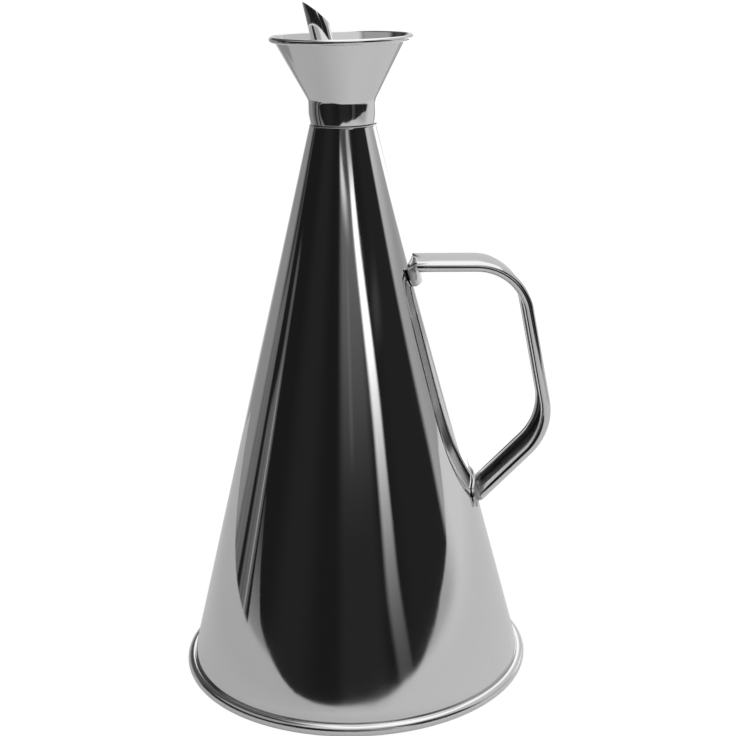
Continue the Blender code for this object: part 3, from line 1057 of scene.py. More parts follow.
@dataclass
class Handle:
    """The strap: one sheet with both edges rolled in, unrolled to a wide foot at each end.

    A weld's place is the share of the way from the foot's free end to its fold, and the softened
    edge's width is a share of the sheet.
    """

    can: CanBody
    width: float = 0.0210
    sheet: float = 0.0009
    crown: float = 0.0003
    roll_radius: float = 0.00195
    roll_turn: float = math.radians(235)
    top: float = 0.1678
    fall: float = 0.0008
    reach: float = 0.0683
    grip_lean: float = 0.0123
    grip_drop: float = 0.0688
    return_slope: float = math.radians(44.6)
    upper_bend: float = 0.0225
    lower_bend: float = 0.0250
    foot_bend: float = 0.0007
    foot_length: float = 0.0085
    foot_corner: float = 0.0030
    roll_stand_off: float = 0.0022
    roll_run: float = 0.0060
    roll_steps: int = 20
    web_steps: int = 20
    foot_rows: int = 12
    bend_rows: tuple[int, int, int, int] = (6, 22, 20, 6)
    weld_place: float = 0.48
    weld_spread: float = 0.0112
    weld_depth: float = 0.00014
    weld_size: float = 0.0010
    sharp: float = math.radians(50)
    edge_width: float = 0.22
    edge_angle: float = math.radians(60)

    @property
    def roll_middle(self) -> float:
        """Radius of the rolled edge at the middle of its sheet."""
        return self.roll_radius - self.sheet / 2

    @property
    def web_half(self) -> float:
        """Half the width between the rolled edges' centres."""
        return self.width / 2 - self.roll_radius

    def on_body(self, height: float) -> Vector:
        """The strap's middle line where it lies on the cone at a height."""
        stand_off = (self.can.seat + self.sheet / 2) / math.cos(math.atan(self.can.slope))
        return Vector((self.can.radius_at(height) + stand_off, height))

    def corners(self) -> list[Vector]:
        """Corners of the middle line in the XZ plane, from the upper foot to the lower.

        Returns:
            Six points.
        """
        upper = self.on_body(self.top)
        far = Vector((self.reach, self.top - self.fall))
        grip = Vector((self.reach + self.grip_lean, self.top - self.grip_drop))
        across = grip.x - self.on_body(grip.y).x
        sine, cosine = math.sin(self.return_slope), math.cos(self.return_slope)
        run = across / (cosine + self.can.slope * sine)
        lower = grip - run * Vector((cosine, sine))
        drop = self.foot_length * math.cos(math.atan(self.can.slope))
        return [self.on_body(upper.y - drop), upper, far, grip, lower, self.on_body(lower.y + drop)]

    def stations(self) -> list[tuple[Vector, Vector, Vector, Row]]:
        """Cross rows along the strap: point, direction, the way out from the can, and shape.

        Returns:
            The rows from the free end of the upper foot to that of the lower one.
        """
        corners = self.corners()
        bends = [self.foot_bend, self.upper_bend, self.lower_bend, self.foot_bend]
        first = (corners[1] - corners[0]).normalized()
        final = (corners[-1] - corners[-2]).normalized()
        outward = (corners[2] - corners[1]).normalized()
        stations = []
        for i, (bend, count) in enumerate(zip(bends, self.bend_rows)):
            before, corner, after = corners[i : i + 3]
            arriving, leaving = (corner - before).normalized(), (after - corner).normalized()
            turn = arriving.angle(leaving)
            start = corner - arriving * bend * math.tan(turn / 2)
            if i == 0:
                for k in range(self.foot_rows):
                    point = corners[0].lerp(start, k / self.foot_rows)
                    stations.append((point, first, outward, Row.FOOT))
            if i == 3:
                outward = -arriving
                stations.append((start - arriving * self.roll_run, arriving, outward, Row.PLAIN))
                stations.append((start, arriving, outward, Row.TRIMMED))
            centre = start + Vector((arriving.y, -arriving.x)) * bend
            shape = Row.FOLD if i in (0, 3) else Row.PLAIN
            for k in range(count + 1):
                spin = Matrix.Rotation(-turn * k / count, 2)
                flat = (i == 0 and k == 0) or (i == 3 and k == count)
                kind = Row.FOOT if flat else shape
                point = centre + spin @ (start - centre)
                stations.append((point, spin @ arriving, outward, kind))
            last = stations[-1][0]
            if i == 0:
                stations.append((last, leaving, outward, Row.TRIMMED))
                stations.append((last + leaving * self.roll_run, leaving, outward, Row.PLAIN))
            if i == 3:
                for k in range(1, self.foot_rows + 1):
                    point = last.lerp(corners[-1], k / self.foot_rows)
                    stations.append((point, final, outward, Row.FOOT))
        return stations

    def sections(self) -> tuple[np.ndarray, np.ndarray]:
        """The strap's section as it is rolled, and the same sheet laid flat.

        The web w has out = crown (1 - (w/h)^2), and each roll is a circle arc. Laid flat, the
        roll's arc length is added to each side of the web, and out is 0.

        Returns:
            Points (across, out) from one edge to the other, and the same points laid flat.
        """
        turn = self.roll_turn * np.arange(1, self.roll_steps + 1) / self.roll_steps
        across = self.web_half + self.roll_middle * np.sin(turn)
        roll = np.stack([across, self.roll_middle * (np.cos(turn) - 1)], 1)
        share = np.linspace(-1, 1, self.web_steps + 1)
        web = np.stack([self.web_half * share, self.crown * (1 - share**2)], 1)
        edge = self.web_half + self.roll_middle * turn
        spread = np.concatenate([-edge[::-1], self.web_half * share, edge])
        rolled = np.concatenate([roll[::-1] * (-1, 1), web, roll])
        return rolled, np.stack([spread, np.zeros_like(spread)], 1)

    def weld_places(self) -> list[Vector]:
        """Middle points of the spot welds on the two feet, on the outer face of the sheet.

        Returns:
            Points in metres.
        """
        corners = self.corners()
        places = []
        for free, fold in ((corners[0], corners[1]), (corners[-1], corners[-2])):
            middle = free.lerp(fold, self.weld_place)
            for across in (-self.weld_spread, self.weld_spread):
                reach = math.sqrt(middle.x**2 - across**2) + self.sheet / 2
                places.append(Vector((reach, across, middle.y)))
        return places

    def dented(self, points: np.ndarray) -> np.ndarray:
        """Presses the spot welds into the feet: depth * e^(-(d / size)^2) towards the axis.

        Args:
            points: points of the strap's middle surface.

        Returns:
            The moved points.
        """
        points = points.copy()
        for weld in self.weld_places():
            away = np.linalg.norm(points - np.array(weld), axis=-1)
            dent = self.weld_depth * np.exp(-((away / self.weld_size) ** 2))
            outward = points[..., :2] / np.linalg.norm(points[..., :2], axis=-1, keepdims=True)
            points[..., :2] -= outward * dent[..., None]
        return points

    def surface(self) -> tuple[np.ndarray, np.ndarray]:
        """Points of the strap's middle surface, and the faces between its rows.

        A point stands off the middle line by its section, and the feet's free corners are rounded.
        On the feet, in the folds and at the rolls' trimmed ends it then slides along the way out
        until x^2 + w^2 equals the square of the cone's radius there, a quadratic in the slide.

        Returns:
            An array of rows by columns by 3, and an array of faces by 4.
        """
        stations = self.stations()
        point, along, outward = (np.array([s[i] for s in stations]) for i in range(3))
        kind = np.array([s[3].value for s in stations])
        flat = np.isin(kind, (Row.FOOT.value, Row.FOLD.value))[:, None]
        plain, spread = self.sections()
        across = np.where(flat, spread[:, 0], plain[:, 0])
        offset = np.where(flat, spread[:, 1], plain[:, 1])
        x = point[:, :1] - along[:, 1:] * offset
        z = point[:, 1:] + along[:, :1] * offset

        beyond = np.clip(np.abs(across) - (spread[-1, 0] - self.foot_corner), 0, self.foot_corner)
        pulled = self.foot_corner - np.sqrt(self.foot_corner**2 - beyond**2)
        rows, last = len(stations), self.foot_rows
        share = np.zeros((rows, 1))
        share[: last + 1, 0] = np.linspace(1, 0, last + 1)
        share[-last - 1 :, 0] = -np.linspace(0, 1, last + 1)
        x += along[:, :1] * pulled * share
        z += along[:, 1:] * pulled * share

        slope = self.can.slope
        trimmed = (kind == Row.TRIMMED.value)[:, None]
        wanted = np.where(trimmed, self.can.radius_at(z) + self.roll_stand_off, x)
        square = outward[:, :1] ** 2 - (slope * outward[:, 1:]) ** 2
        linear = x * outward[:, :1] + wanted * slope * outward[:, 1:]
        rest = x**2 + across**2 - wanted**2
        slide = -rest / (linear + np.sqrt(linear**2 - square * rest))
        slide = np.where((kind == Row.PLAIN.value)[:, None], 0.0, slide)
        points = np.stack([x + outward[:, :1] * slide, across, z + outward[:, 1:] * slide], -1)

        columns = len(plain)
        cells = grid_faces(rows, columns, False, False).reshape(rows - 1, columns - 1, 4)
        foot = kind == Row.FOOT.value
        rolled = np.isin(kind, (Row.TRIMMED.value, Row.PLAIN.value))
        whole = (foot[:-1] & foot[1:]) | (rolled[:-1] & rolled[1:])
        column = np.arange(columns - 1)
        web = (column >= self.roll_steps) & (column < self.roll_steps + self.web_steps)
        return self.dented(points), cells[whole[:, None] | web[None, :]]

    def mesh(self) -> bpy.types.Mesh:
        """The strap's middle surface as a mesh, whose points carry their place and way inward.

        Returns:
            The mesh, which a modifier then thickens.
        """
        points, faces = self.surface()
        mesh = make_mesh("handle_strap_sheet", points, [faces])
        tidy_mesh(mesh, self.sharp, turn_out=False)
        for name, values, key in ((MIDDLE, mesh.vertices, "co"), (INWARD, mesh.vertex_normals, "vector")):
            vectors = np.zeros(3 * len(mesh.vertices), np.float32)
            values.foreach_get(key, vectors)
            mesh.attributes.new(name, "FLOAT_VECTOR", "POINT").data.foreach_set("vector", vectors)
        return mesh

    def dress(self) -> list[bpy.types.Object]:
        """Makes the strap, thickens it, softens its cut edges and gives it its finish.

        Returns:
            The piece.
        """
        welds = tuple(tuple(weld) for weld in self.weld_places())
        finish = PolishedSteel(
            "polished_strap", level=0.70, roughness=0.06, buffing=0.0, scratches=0.0,
            rough_with_painted_shade_inside=True, welds=welds,
        )
        strap = place_piece(self.mesh(), Body.CAN, Slot.POLISHED, finish, "handle_strap")
        sheet = strap.modifiers.new("sheet", "SOLIDIFY")
        sheet.thickness = self.sheet
        sheet.offset = 0.0
        sheet.use_even_offset = True
        edge = strap.modifiers.new("edge", "BEVEL")
        edge.width = self.sheet * self.edge_width
        edge.segments = 2
        edge.limit_method = "ANGLE"
        edge.angle_limit = self.edge_angle
        return [strap]


# The pouring head


@dataclass
class PouringHead:
    """The drip funnel, the turned stopper with its tray, and the leaning spout.

    The spout's lip keeps its room, counted in half walls, under the slanting cut. The solder's shift
    is the share of its lean at half height that widens it, and its climb how far waves change its
    height.
    """

    turn: float = math.radians(20)
    sheet: float = 0.0006
    seat: float = 0.0003
    shoulder: float = 0.2208
    collar_radius: float = 0.0130
    collar_foot: float = 0.0124
    collar_taper: float = 0.0037
    collar_bend: float = 0.0040
    half_angle: float = math.radians(28.8)
    rim_height: float = 0.2521
    rim_radius: float = 0.0270
    rim_roll: float = 0.00105
    rim_turn: float = math.radians(270)
    spigot_radius: float = 0.0104
    spigot_length: float = 0.0112
    spigot_wall: float = 0.0021
    chamfer: float = 0.0006
    tray_rise: float = 0.0078
    tray_thickness: float = 0.0010
    tray_lip: float = 0.0012
    groove_drop: float = 0.0037
    groove_depth: float = 0.0014
    seal_height: float = 0.0032
    drain_radius: float = 0.0018
    drain_offset: float = 0.0064
    cup_sharp: float = math.radians(38)
    spout_radius: float = 0.0040
    spout_wall: float = 0.0006
    spout_lean: float = math.radians(12.7)
    spout_crossing: float = 0.2183
    spout_foot: float = 0.0060
    spout_rise: float = 0.0137
    spout_cut: float = math.radians(52)
    spout_lip_room: float = 1.5
    spout_sharp: float = math.radians(34)
    solder_leg: float = 0.0013
    solder_gap: float = 0.00004
    solder_shift: float = 0.4
    solder_waves: tuple[Wave, ...] = ((0.10, 5, 0, 0.7), (0.07, 11, 0, 2.0))
    solder_climb: float = 0.1
    solder_sharp: float = math.radians(50)
    funnel_steps: int = 192
    cup_steps: int = 128
    hole_steps: int = 48
    spout_steps: int = 96
    spout_rows: int = 14

    @property
    def tray(self) -> float:
        """Height of the drip tray's floor."""
        return self.shoulder + self.tray_rise

    def turned_by_head(self, points: np.ndarray) -> np.ndarray:
        """Turns points round Z by the head's turn: x cos t - y sin t, x sin t + y cos t."""
        cosine, sine = math.cos(self.turn), math.sin(self.turn)
        x, y = points[..., 0], points[..., 1]
        return np.stack([x * cosine - y * sine, x * sine + y * cosine, points[..., 2]], -1)

    def on_spout(self, points: np.ndarray) -> np.ndarray:
        """Leans points of the spout's own frame, lifts them to its crossing and turns them.

        Args:
            points: points round the spout's axis, whose origin is on the can's axis.

        Returns:
            The same points in place.
        """
        cosine, sine = math.cos(self.spout_lean), math.sin(self.spout_lean)
        x, y, z = points[..., 0], points[..., 1], points[..., 2]
        leaned = [x * cosine - z * sine, y, self.spout_crossing + x * sine + z * cosine]
        return self.turned_by_head(np.stack(leaned, -1))

    def funnel_mesh(self) -> bpy.types.Mesh:
        """The funnel: collar with a tapered foot, round bend, straight cone and a rim rolled outwards.

        Returns:
            The mesh.
        """
        lean = self.half_angle
        centre = (self.rim_radius - self.rim_roll, self.rim_height)
        start = math.pi - lean
        end = start - self.rim_turn
        outer_roll = arc(centre, self.rim_roll, start, end, 34)
        inner_roll = arc(centre, self.rim_roll - self.sheet, end, start, 26)
        join = inner_roll[-1]
        knee = join[1] - (join[0] - self.collar_radius) / math.tan(lean)
        bend = (self.collar_radius + self.collar_bend, knee - self.collar_bend * math.tan(lean / 2))
        outer_bend = arc(bend, self.collar_bend, math.pi - lean, math.pi, 14)
        inner_bend = arc(bend, self.collar_bend + self.sheet, math.pi, math.pi - lean, 14)
        lip = self.sheet / 2
        taper = self.shoulder + self.collar_taper
        profile = joined(
            inner_roll,
            line(inner_roll[-1], outer_bend[0], 12)[1:-1],
            outer_bend,
            [(self.collar_radius, taper)],
            arc((self.collar_foot - lip, self.shoulder + lip), lip, 0.0, -math.pi, 10),
            [(self.collar_radius - self.sheet, taper)],
            inner_bend,
            line(inner_bend[-1], outer_roll[0], 12)[1:-1],
            outer_roll,
        )
        return round_shell("funnel_sheet", turned_grid(profile, self.funnel_steps))

    def cup_profile(self) -> np.ndarray:
        """The stopper's turned wall, from the tray's upper face round the outside to its underside.

        Returns:
            Points (radius, height).
        """
        sleeve = self.collar_radius - self.sheet - self.seat
        foot = self.collar_foot - self.sheet - self.seat
        lip_inner = sleeve - self.sheet
        lip_top = self.tray + self.tray_lip
        spigot = self.spigot_radius
        groove = spigot - self.groove_depth
        groove_top = self.shoulder - self.groove_drop
        groove_bottom = groove_top - self.seal_height - 2 * self.seat
        bore = spigot - self.spigot_wall
        bottom = self.shoulder - self.spigot_length
        neck = self.tray - self.tray_thickness - self.chamfer
        edge = self.chamfer / 3
        return joined(
            arc((lip_inner - self.tray_lip, lip_top), self.tray_lip, -QUARTER_TURN, 0.0, 9),
            [(lip_inner + edge, lip_top + edge), (sleeve - edge, lip_top + edge)],
            line((sleeve, lip_top), (sleeve, self.shoulder + self.collar_taper), 5),
            [(foot, self.shoulder + edge), (foot - edge, self.shoulder), (spigot, self.shoulder)],
            line((spigot, self.shoulder - edge), (spigot, groove_top + edge), 5),
            [(spigot - edge, groove_top), (groove, groove_top), (groove, groove_bottom)],
            [(spigot - edge, groove_bottom), (spigot, groove_bottom - edge)],
            [(spigot, bottom + self.chamfer), (spigot - self.chamfer, bottom)],
            [(bore + edge, bottom), (bore, bottom + edge), (bore, neck)],
            arc((bore - self.chamfer, neck), self.chamfer, 0.0, QUARTER_TURN, 5)[1:],
        )

    def hole_rings(self, height: float) -> list[np.ndarray]:
        """The tray's two holes at a height: the upright drain, and the leaning spout's ellipse.

        The ellipse is a circle round the leaning axis: x = c + R cos t / cos(lean), c on the axis.

        Args:
            height: where the holes are cut.

        Returns:
            Points of the drain's ring and of the spout's ring.
        """
        angle = angles(self.hole_steps)
        flat = np.full(len(angle), height)
        on_axis = -(height - self.spout_crossing) * math.tan(self.spout_lean)
        wide = self.spout_radius + self.seat
        drain = (self.drain_offset, self.drain_radius, self.drain_radius)
        spout = (on_axis, wide / math.cos(self.spout_lean), wide)
        rings = []
        for middle, half_x, half_y in (drain, spout):
            ring = np.stack([middle + half_x * np.cos(angle), half_y * np.sin(angle), flat], 1)
            rings.append(self.turned_by_head(ring))
        return rings

    def plate(self, height: float, radius: float) -> tuple[np.ndarray, np.ndarray]:
        """One face of the tray: a disc with the two holes left out.

        Args:
            height: the face's height.
            radius: the disc's radius.

        Returns:
            The points and the triangles.
        """
        around = angles(self.cup_steps)
        rim = radius * np.stack([np.cos(around), np.sin(around)], 1)
        holes = [ring[:, :2] for ring in self.hole_rings(height)]
        edges, start = [], 0
        for ring in (rim, *holes):
            number = np.arange(len(ring))
            edges += (np.stack([number, np.roll(number, -1)], 1) + start).tolist()
            start += len(ring)
        flat = [Vector(point) for point in joined(rim, *holes)]
        made = delaunay_2d_cdt(flat, edges, [], 0, SAME_POINT)
        corners = np.array([tuple(point) for point in made[0]])
        cells = np.array([cell for cell in made[2] if len(cell) == 3])
        middle = corners[cells].mean(1)
        solid = np.hypot(middle[:, 0], middle[:, 1]) < radius
        for ring in holes:
            solid &= ~self.within(middle, ring)
        return np.c_[corners, np.full(len(corners), height)], cells[solid]

    @staticmethod
    def within(points: np.ndarray, ring: np.ndarray) -> np.ndarray:
        """Which points lie inside a convex ring: on the same side of all its edges.

        Args:
            points: the points to test.
            ring: the ring's corners in order.

        Returns:
            True for each point inside.
        """
        step = np.roll(ring, -1, 0) - ring
        away = points[:, None, :] - ring[None]
        side = step[:, 0] * away[..., 1] - step[:, 1] * away[..., 0]
        return (side > 0).all(1) | (side < 0).all(1)

    def cup_mesh(self) -> bpy.types.Mesh:
        """The turned stopper: a turned wall, the tray's two faces, and the walls of its two holes.

        Returns:
            The mesh.
        """
        under = self.tray - self.tray_thickness
        profile = self.cup_profile()
        walls = turned_grid(profile, self.cup_steps)
        blocks = [(walls, grid_faces(len(profile), self.cup_steps, False, True))]
        blocks.append(self.plate(self.tray, profile[0, 0]))
        blocks.append(self.plate(under, profile[-1, 0]))
        for upper, lower in zip(self.hole_rings(self.tray), self.hole_rings(under)):
            blocks.append((np.stack([upper, lower]), grid_faces(2, self.hole_steps, False, True)))
        mesh = make_mesh("stopper_cup_turned", *merged(blocks))
        tidy_mesh(mesh, self.cup_sharp)
        return mesh

    def spout_mesh(self) -> bpy.types.Mesh:
        """The leaning tube: its tip ends on a slanting plane, z = tip - (x + R) tan(cut).

        Returns:
            The mesh.
        """
        rise = self.rim_height + self.spout_rise - self.spout_crossing
        tip = (rise + self.spout_radius * math.sin(self.spout_lean)) / math.cos(self.spout_lean)
        inner = self.spout_radius - self.spout_wall
        half = self.spout_wall / 2
        lip = np.linspace(0.0, math.pi, 7)[1:-1]
        wall = np.ones(self.spout_rows)
        up = np.linspace(0, 1, self.spout_rows)
        radii = np.concatenate([self.spout_radius * wall, inner + half + half * np.cos(lip), inner * wall])
        share = np.concatenate([up, np.ones_like(lip), up[::-1]])
        crest = np.concatenate([0 * wall, half * np.sin(lip), 0 * wall])
        angle = angles(self.spout_steps)
        x = radii[:, None] * np.cos(angle)
        y = radii[:, None] * np.sin(angle)
        end = tip - half * self.spout_lip_room - (x + self.spout_radius) * math.tan(self.spout_cut)
        z = -self.spout_foot + share[:, None] * (end + self.spout_foot) + crest[:, None]
        points = self.on_spout(np.stack([x, y, z], -1))
        return round_shell("spout_tube_cut", points, sharp=self.spout_sharp)

    def solder_mesh(self) -> bpy.types.Mesh:
        """The solder round the spout: a hollow fillet, (leg b^2, leg (1 - b)^2), uneven round it.

        Returns:
            The mesh.
        """
        leg, lean = self.solder_leg, math.tan(self.spout_lean)
        inner = self.spout_radius / math.cos(self.spout_lean) + leg / 2 * lean * self.solder_shift
        bend = np.linspace(0.0, 1.0, 9)
        across = np.concatenate([leg * bend**2, [leg * 0.5, 0.0]])
        height = np.concatenate([leg * (1 - bend) ** 2, [0.0, 0.0]])
        angle = angles(self.spout_steps)
        uneven = 1 + waves(angle, 0.0, self.solder_waves)
        radius = inner + across[:, None] * uneven
        shift = -(self.tray + leg / 2 - self.spout_crossing) * lean
        x = shift + radius * np.cos(angle) - height[:, None] * lean
        y = radius * np.sin(angle)
        climb = 1 - self.solder_climb + self.solder_climb * uneven
        z = self.tray + self.solder_gap + height[:, None] * climb
        points = self.turned_by_head(np.stack([x, y, z], -1))
        return round_shell("spout_solder_fillet", points, sharp=self.solder_sharp)

    def dress(self) -> list[bpy.types.Object]:
        """Makes the pieces and gives them their finishes.

        Returns:
            The pieces.
        """
        spun = PolishedSteel("polished_funnel", roughness=0.06, smear=0.04)
        tube = PolishedSteel("polished_spout", roughness=0.06, smear=0.04)
        turned = SatinSteel("turned_stopper")
        tin = Solder("spout_solder_tin")
        return [
            place_piece(self.funnel_mesh(), Body.HEAD, Slot.POLISHED, spun, "funnel"),
            place_piece(self.cup_mesh(), Body.HEAD, Slot.SATIN, turned, "stopper_cup"),
            place_piece(self.spout_mesh(), Body.HEAD, Slot.POLISHED, tube, "spout_tube"),
            place_piece(self.solder_mesh(), Body.HEAD, Slot.SATIN, tin, "spout_solder"),
        ]


@dataclass
class StopperSeal:
    """The silicone ring in the stopper's groove."""

    head: PouringHead
    outer: float = 0.01085
    round_edge: float = 0.0007
    waist: float = 0.00008
    sharp: float = math.radians(45)
    steps: int = 128

    def mesh(self) -> bpy.types.Mesh:
        """The ring: flat inside, with rounded outer edges and a shallow waist, r - waist sin^2.

        Returns:
            The mesh.
        """
        head = self.head
        top = head.shoulder - head.groove_drop - head.seat
        bottom = top - head.seal_height
        inner = head.spigot_radius - head.groove_depth + head.seat
        edge = self.round_edge
        upper = arc((self.outer - edge, top - edge), edge, QUARTER_TURN, 0.0, 8)
        lower = arc((self.outer - edge, bottom + edge), edge, 0.0, -QUARTER_TURN, 8)
        middle = line(upper[-1], lower[0], 14)[1:-1]
        middle[:, 0] -= self.waist * np.sin(np.linspace(0, math.pi, len(middle))) ** 2
        profile = joined(upper, middle, lower, [(inner, bottom), (inner, top)])
        return round_shell("stopper_seal_ring", turned_grid(profile, self.steps), sharp=self.sharp)

    def dress(self) -> list[bpy.types.Object]:
        """Makes the ring and gives it its finish."""
        finish = Silicone("milky_silicone")
        return [place_piece(self.mesh(), Body.SEAL, Slot.SILICONE, finish, "stopper_seal")]


# The studio


@dataclass(frozen=True)
class Patch:
    """A patch of light with soft edges.

    Each edge is a smooth step, 0 at its first number and 1 at its second. A bend (shift, low, high)
    moves the edges across by shift, from none where upward is low to all of it where it is high.
    """

    level: float
    across: tuple[Edge, ...] = ()
    upward: tuple[Edge, ...] = ()
    bends: tuple[tuple[float, float, float], ...] = ()

    def light(self, side: Signal, up: Signal) -> Signal:
        """The level times every edge's step.

        Args:
            side: the place across.
            up: the place upwards.

        Returns:
            The light.
        """
        for shift, low, high in self.bends:
            side = side + up.rise(low, high) * -shift
        light = self.level
        for edge in self.across:
            light = side.rise(*edge) * light
        for edge in self.upward:
            light = up.rise(*edge) * light
        return light


def added(level: Value, patches: tuple[Patch, ...], side: Signal, up: Signal) -> Signal:
    """A level with the light of each patch added."""
    return sum((patch.light(side, up) for patch in patches), level)


@dataclass
class Room:
    """The room that the steel mirrors, written as light from all round.

    Places are degrees: of azimuth, 0 towards the camera and + to the right, and of elevation above
    the horizon. A level of 1 is white. A change is two levels and the places where it starts and ends.
    """

    # In front: two dim walls, the haze that rises and thins again, a thread of light and a far lamp.
    dark: float = 0.0135
    faint: tuple[Patch, ...] = (
        Patch(0.007, ((-74, -54), (-24, -44))),
        Patch(0.006, ((32, 50),)),
        Patch(0.010, ((-16, -6), (26, 16))),
        Patch(0.125, ((-16, -6), (26, 16)), ((4, 17),)),
        Patch(-0.075, ((-16, -6), (26, 16)), ((18.2, 19.2),)),
        Patch(0.035, ((-3, 0), (4, 1)), ((7, 9.5), (17, 14))),
        Patch(0.035, ((31, 43), (56, 44)), ((10, 12), (14.2, 12.2))),
    )
    # The bright strip bends left on its way up and is dim at its top. The glint is a slanting streak.
    strip: Patch = Patch(
        1.0, ((23.3, 27.8), (36.8, 33.3)), bends=((-14.0, 8, 21), (5.0, 3, -3), (-5.0, 18.5, 21))
    )
    strip_foot: float = -3.0
    strip_run: float = 15.0
    strip_power: float = 2.2
    strip_light: float = 1.5
    strip_least: float = 0.055
    strip_top: Change = (0.24, 1.0, 20.2, 17.2)
    glint: Patch = Patch(0.85, ((-15, -7), (9, -5)), ((16.6, 18.6), (19.4, 18.8)))
    glint_slant: float = 0.12

    # At the left: the wall in two steps, and the far and the near slit in front of it.
    left_wall: tuple[Patch, ...] = (
        Patch(0.295, ((-114, -126),), ((18, 8),)),
        Patch(0.42, ((-150, -172),), ((18, 8),)),
    )
    far_slit_left: Patch = Patch(1.0, ((-115.8, -112.2),), bends=((-4.0, 3, -1),))
    far_slit_right: Patch = Patch(1.0, ((-106.2, -108.8),), bends=((-0.8, 2, 0),))
    far_slit_level: Change = (0.05, 0.15, 6, 1.5)
    near_slit: Patch = Patch(1.0, ((-98.3, -94.7),), bends=((-6.5, 3, -2),))
    near_slit_right: Edge = (-90.0, -92.4)
    near_slit_dim: Patch = Patch(0.35, ((-100.8, -99.2), (-97.8, -99.4)))
    near_slit_level: Change = (0.10, 0.14, 5, 1)
    near_slit_top: Edge = (8.0, 6.3)
    near_slit_line: Patch = Patch(0.25, ((-95.1, -94.1), (-92.9, -93.9)), ((4, 0),))

    # At the right: the wall, whose edge leans, and the window with its two shades.
    right_wall: float = 0.40
    right_wall_edge: Edge = (84.5, 90.5)
    right_wall_lean: float = 0.6
    right_wall_tones: tuple[Patch, ...] = (
        Patch(0.10, (), ((5, 10),)),
        Patch(0.14, (), ((9, 14),)),
        Patch(-0.04, ((91, 103), (118, 106))),
        Patch(0.05, ((112, 124),), ((6, 2),)),
    )
    window: float = 1.45
    window_left: Edge = (122, 129)
    window_lean: float = 1.2
    window_right: Edge = (180, 178)
    window_shades: tuple[Patch, ...] = (
        Patch(0.55, ((132, 146),), ((-3, 3),)),
        Patch(0.55, ((146, 132),), ((5, 9),)),
    )

    # Behind and above. The places of behind, back and lamp are degrees to either side, and those of
    # the soft box overhead are distances across and in depth, counted in its height above the can.
    behind: Patch = Patch(0.66, ((172, 178),))
    back: Patch = Patch(1.0, ((100, 140),), ((11, 27),))
    back_level: Change = (0.10, 0.32, -1, 1)
    panel: Patch = Patch(0.42, ((-122, -106), (-42, -58)), ((22, 32),))
    panel_left: float = -115.0
    panel_slope: float = 0.35
    panel_top: Edge = (48, 38)
    lamp: Patch = Patch(0.8, ((62, 40),), ((32, 46),))
    beside: Patch = Patch(0.55, ((40, 64), (132, 108)), ((20, 40),))
    ceiling: Patch = Patch(0.6, (), ((66, 86),))
    overhead: Patch = Patch(1.3, ((-0.42, -0.12), (1.0, 0.65)), ((-0.75, -0.45), (4.0, 2.4)))
    overhead_least: float = 0.05

    def front(self, side: Signal, up: Signal) -> Signal:
        """The dark side of the room, behind the camera: faint lights and haze, a strip and a glint.

        The strip's light is (climb / run)^power, held from 0 to 1, over a small least level.

        Args:
            side: degrees of azimuth.
            up: degrees of elevation.

        Returns:
            The light.
        """
        fade = ((up - self.strip_foot) / self.strip_run).largest(0.0).smallest(1.0) ** self.strip_power
        strip = self.strip.light(side, up) * (fade * self.strip_light + self.strip_least)
        strip = strip * up.change(*self.strip_top)
        glint = self.glint.light(side, up + side * self.glint_slant)
        return added(self.dark, self.faint, side, up) + strip + glint

    def left(self, side: Signal, up: Signal) -> Signal:
        """The grey wall on the left, with two slits of light in front of it.

        Args:
            side: degrees of azimuth.
            up: degrees of elevation.

        Returns:
            The light.
        """
        far = self.far_slit_left.light(side, up) * self.far_slit_right.light(side, up)
        far = far * up.change(*self.far_slit_level)
        near = self.near_slit.light(side, up) * side.rise(*self.near_slit_right)
        near = near * (1.0 - self.near_slit_dim.light(side, up))
        level = up.change(*self.near_slit_level) * up.rise(*self.near_slit_top)
        near = near * (level + self.near_slit_line.light(side, up))
        return added(far + near, self.left_wall, side, up)

    def right(self, side: Signal, up: Signal) -> Signal:
        """The light wall on the right, and the window beyond it.

        Args:
            side: degrees of azimuth.
            up: degrees of elevation.

        Returns:
            The light.
        """
        edge = (side + up.largest(0.0) * self.right_wall_lean).rise(*self.right_wall_edge)
        wall = added(self.right_wall, self.right_wall_tones, side, up) * edge
        window = (side + up * self.window_lean).rise(*self.window_left) * side.rise(*self.window_right)
        window = window * self.window
        for shade in self.window_shades:
            window = window * (1.0 - shade.light(side, up))
        return wall.largest(window)

    def above(self, side: Signal, up: Signal, way: list[Signal]) -> Signal:
        """The lights over the can: the upper walls, a panel, a lamp, the ceiling and a soft box.

        The soft box lies on a level plane, where a direction meets it at (x / z, y / z).

        Args:
            side: degrees of azimuth.
            up: degrees of elevation.
            way: the three parts of the direction.

        Returns:
            The light.
        """
        away = abs(side)
        back = self.back.light(away, up) * side.change(*self.back_level)
        top = (up - (side - self.panel_left) * self.panel_slope).rise(*self.panel_top)
        panel = self.panel.light(side, up) * top
        x, y, z = way
        high = z.largest(self.overhead_least)
        light = back.largest(panel).largest(self.lamp.light(away, up))
        light = light.largest(self.beside.light(side, up)).largest(self.ceiling.light(side, up))
        return light.largest(self.overhead.light(x / high, y / high))

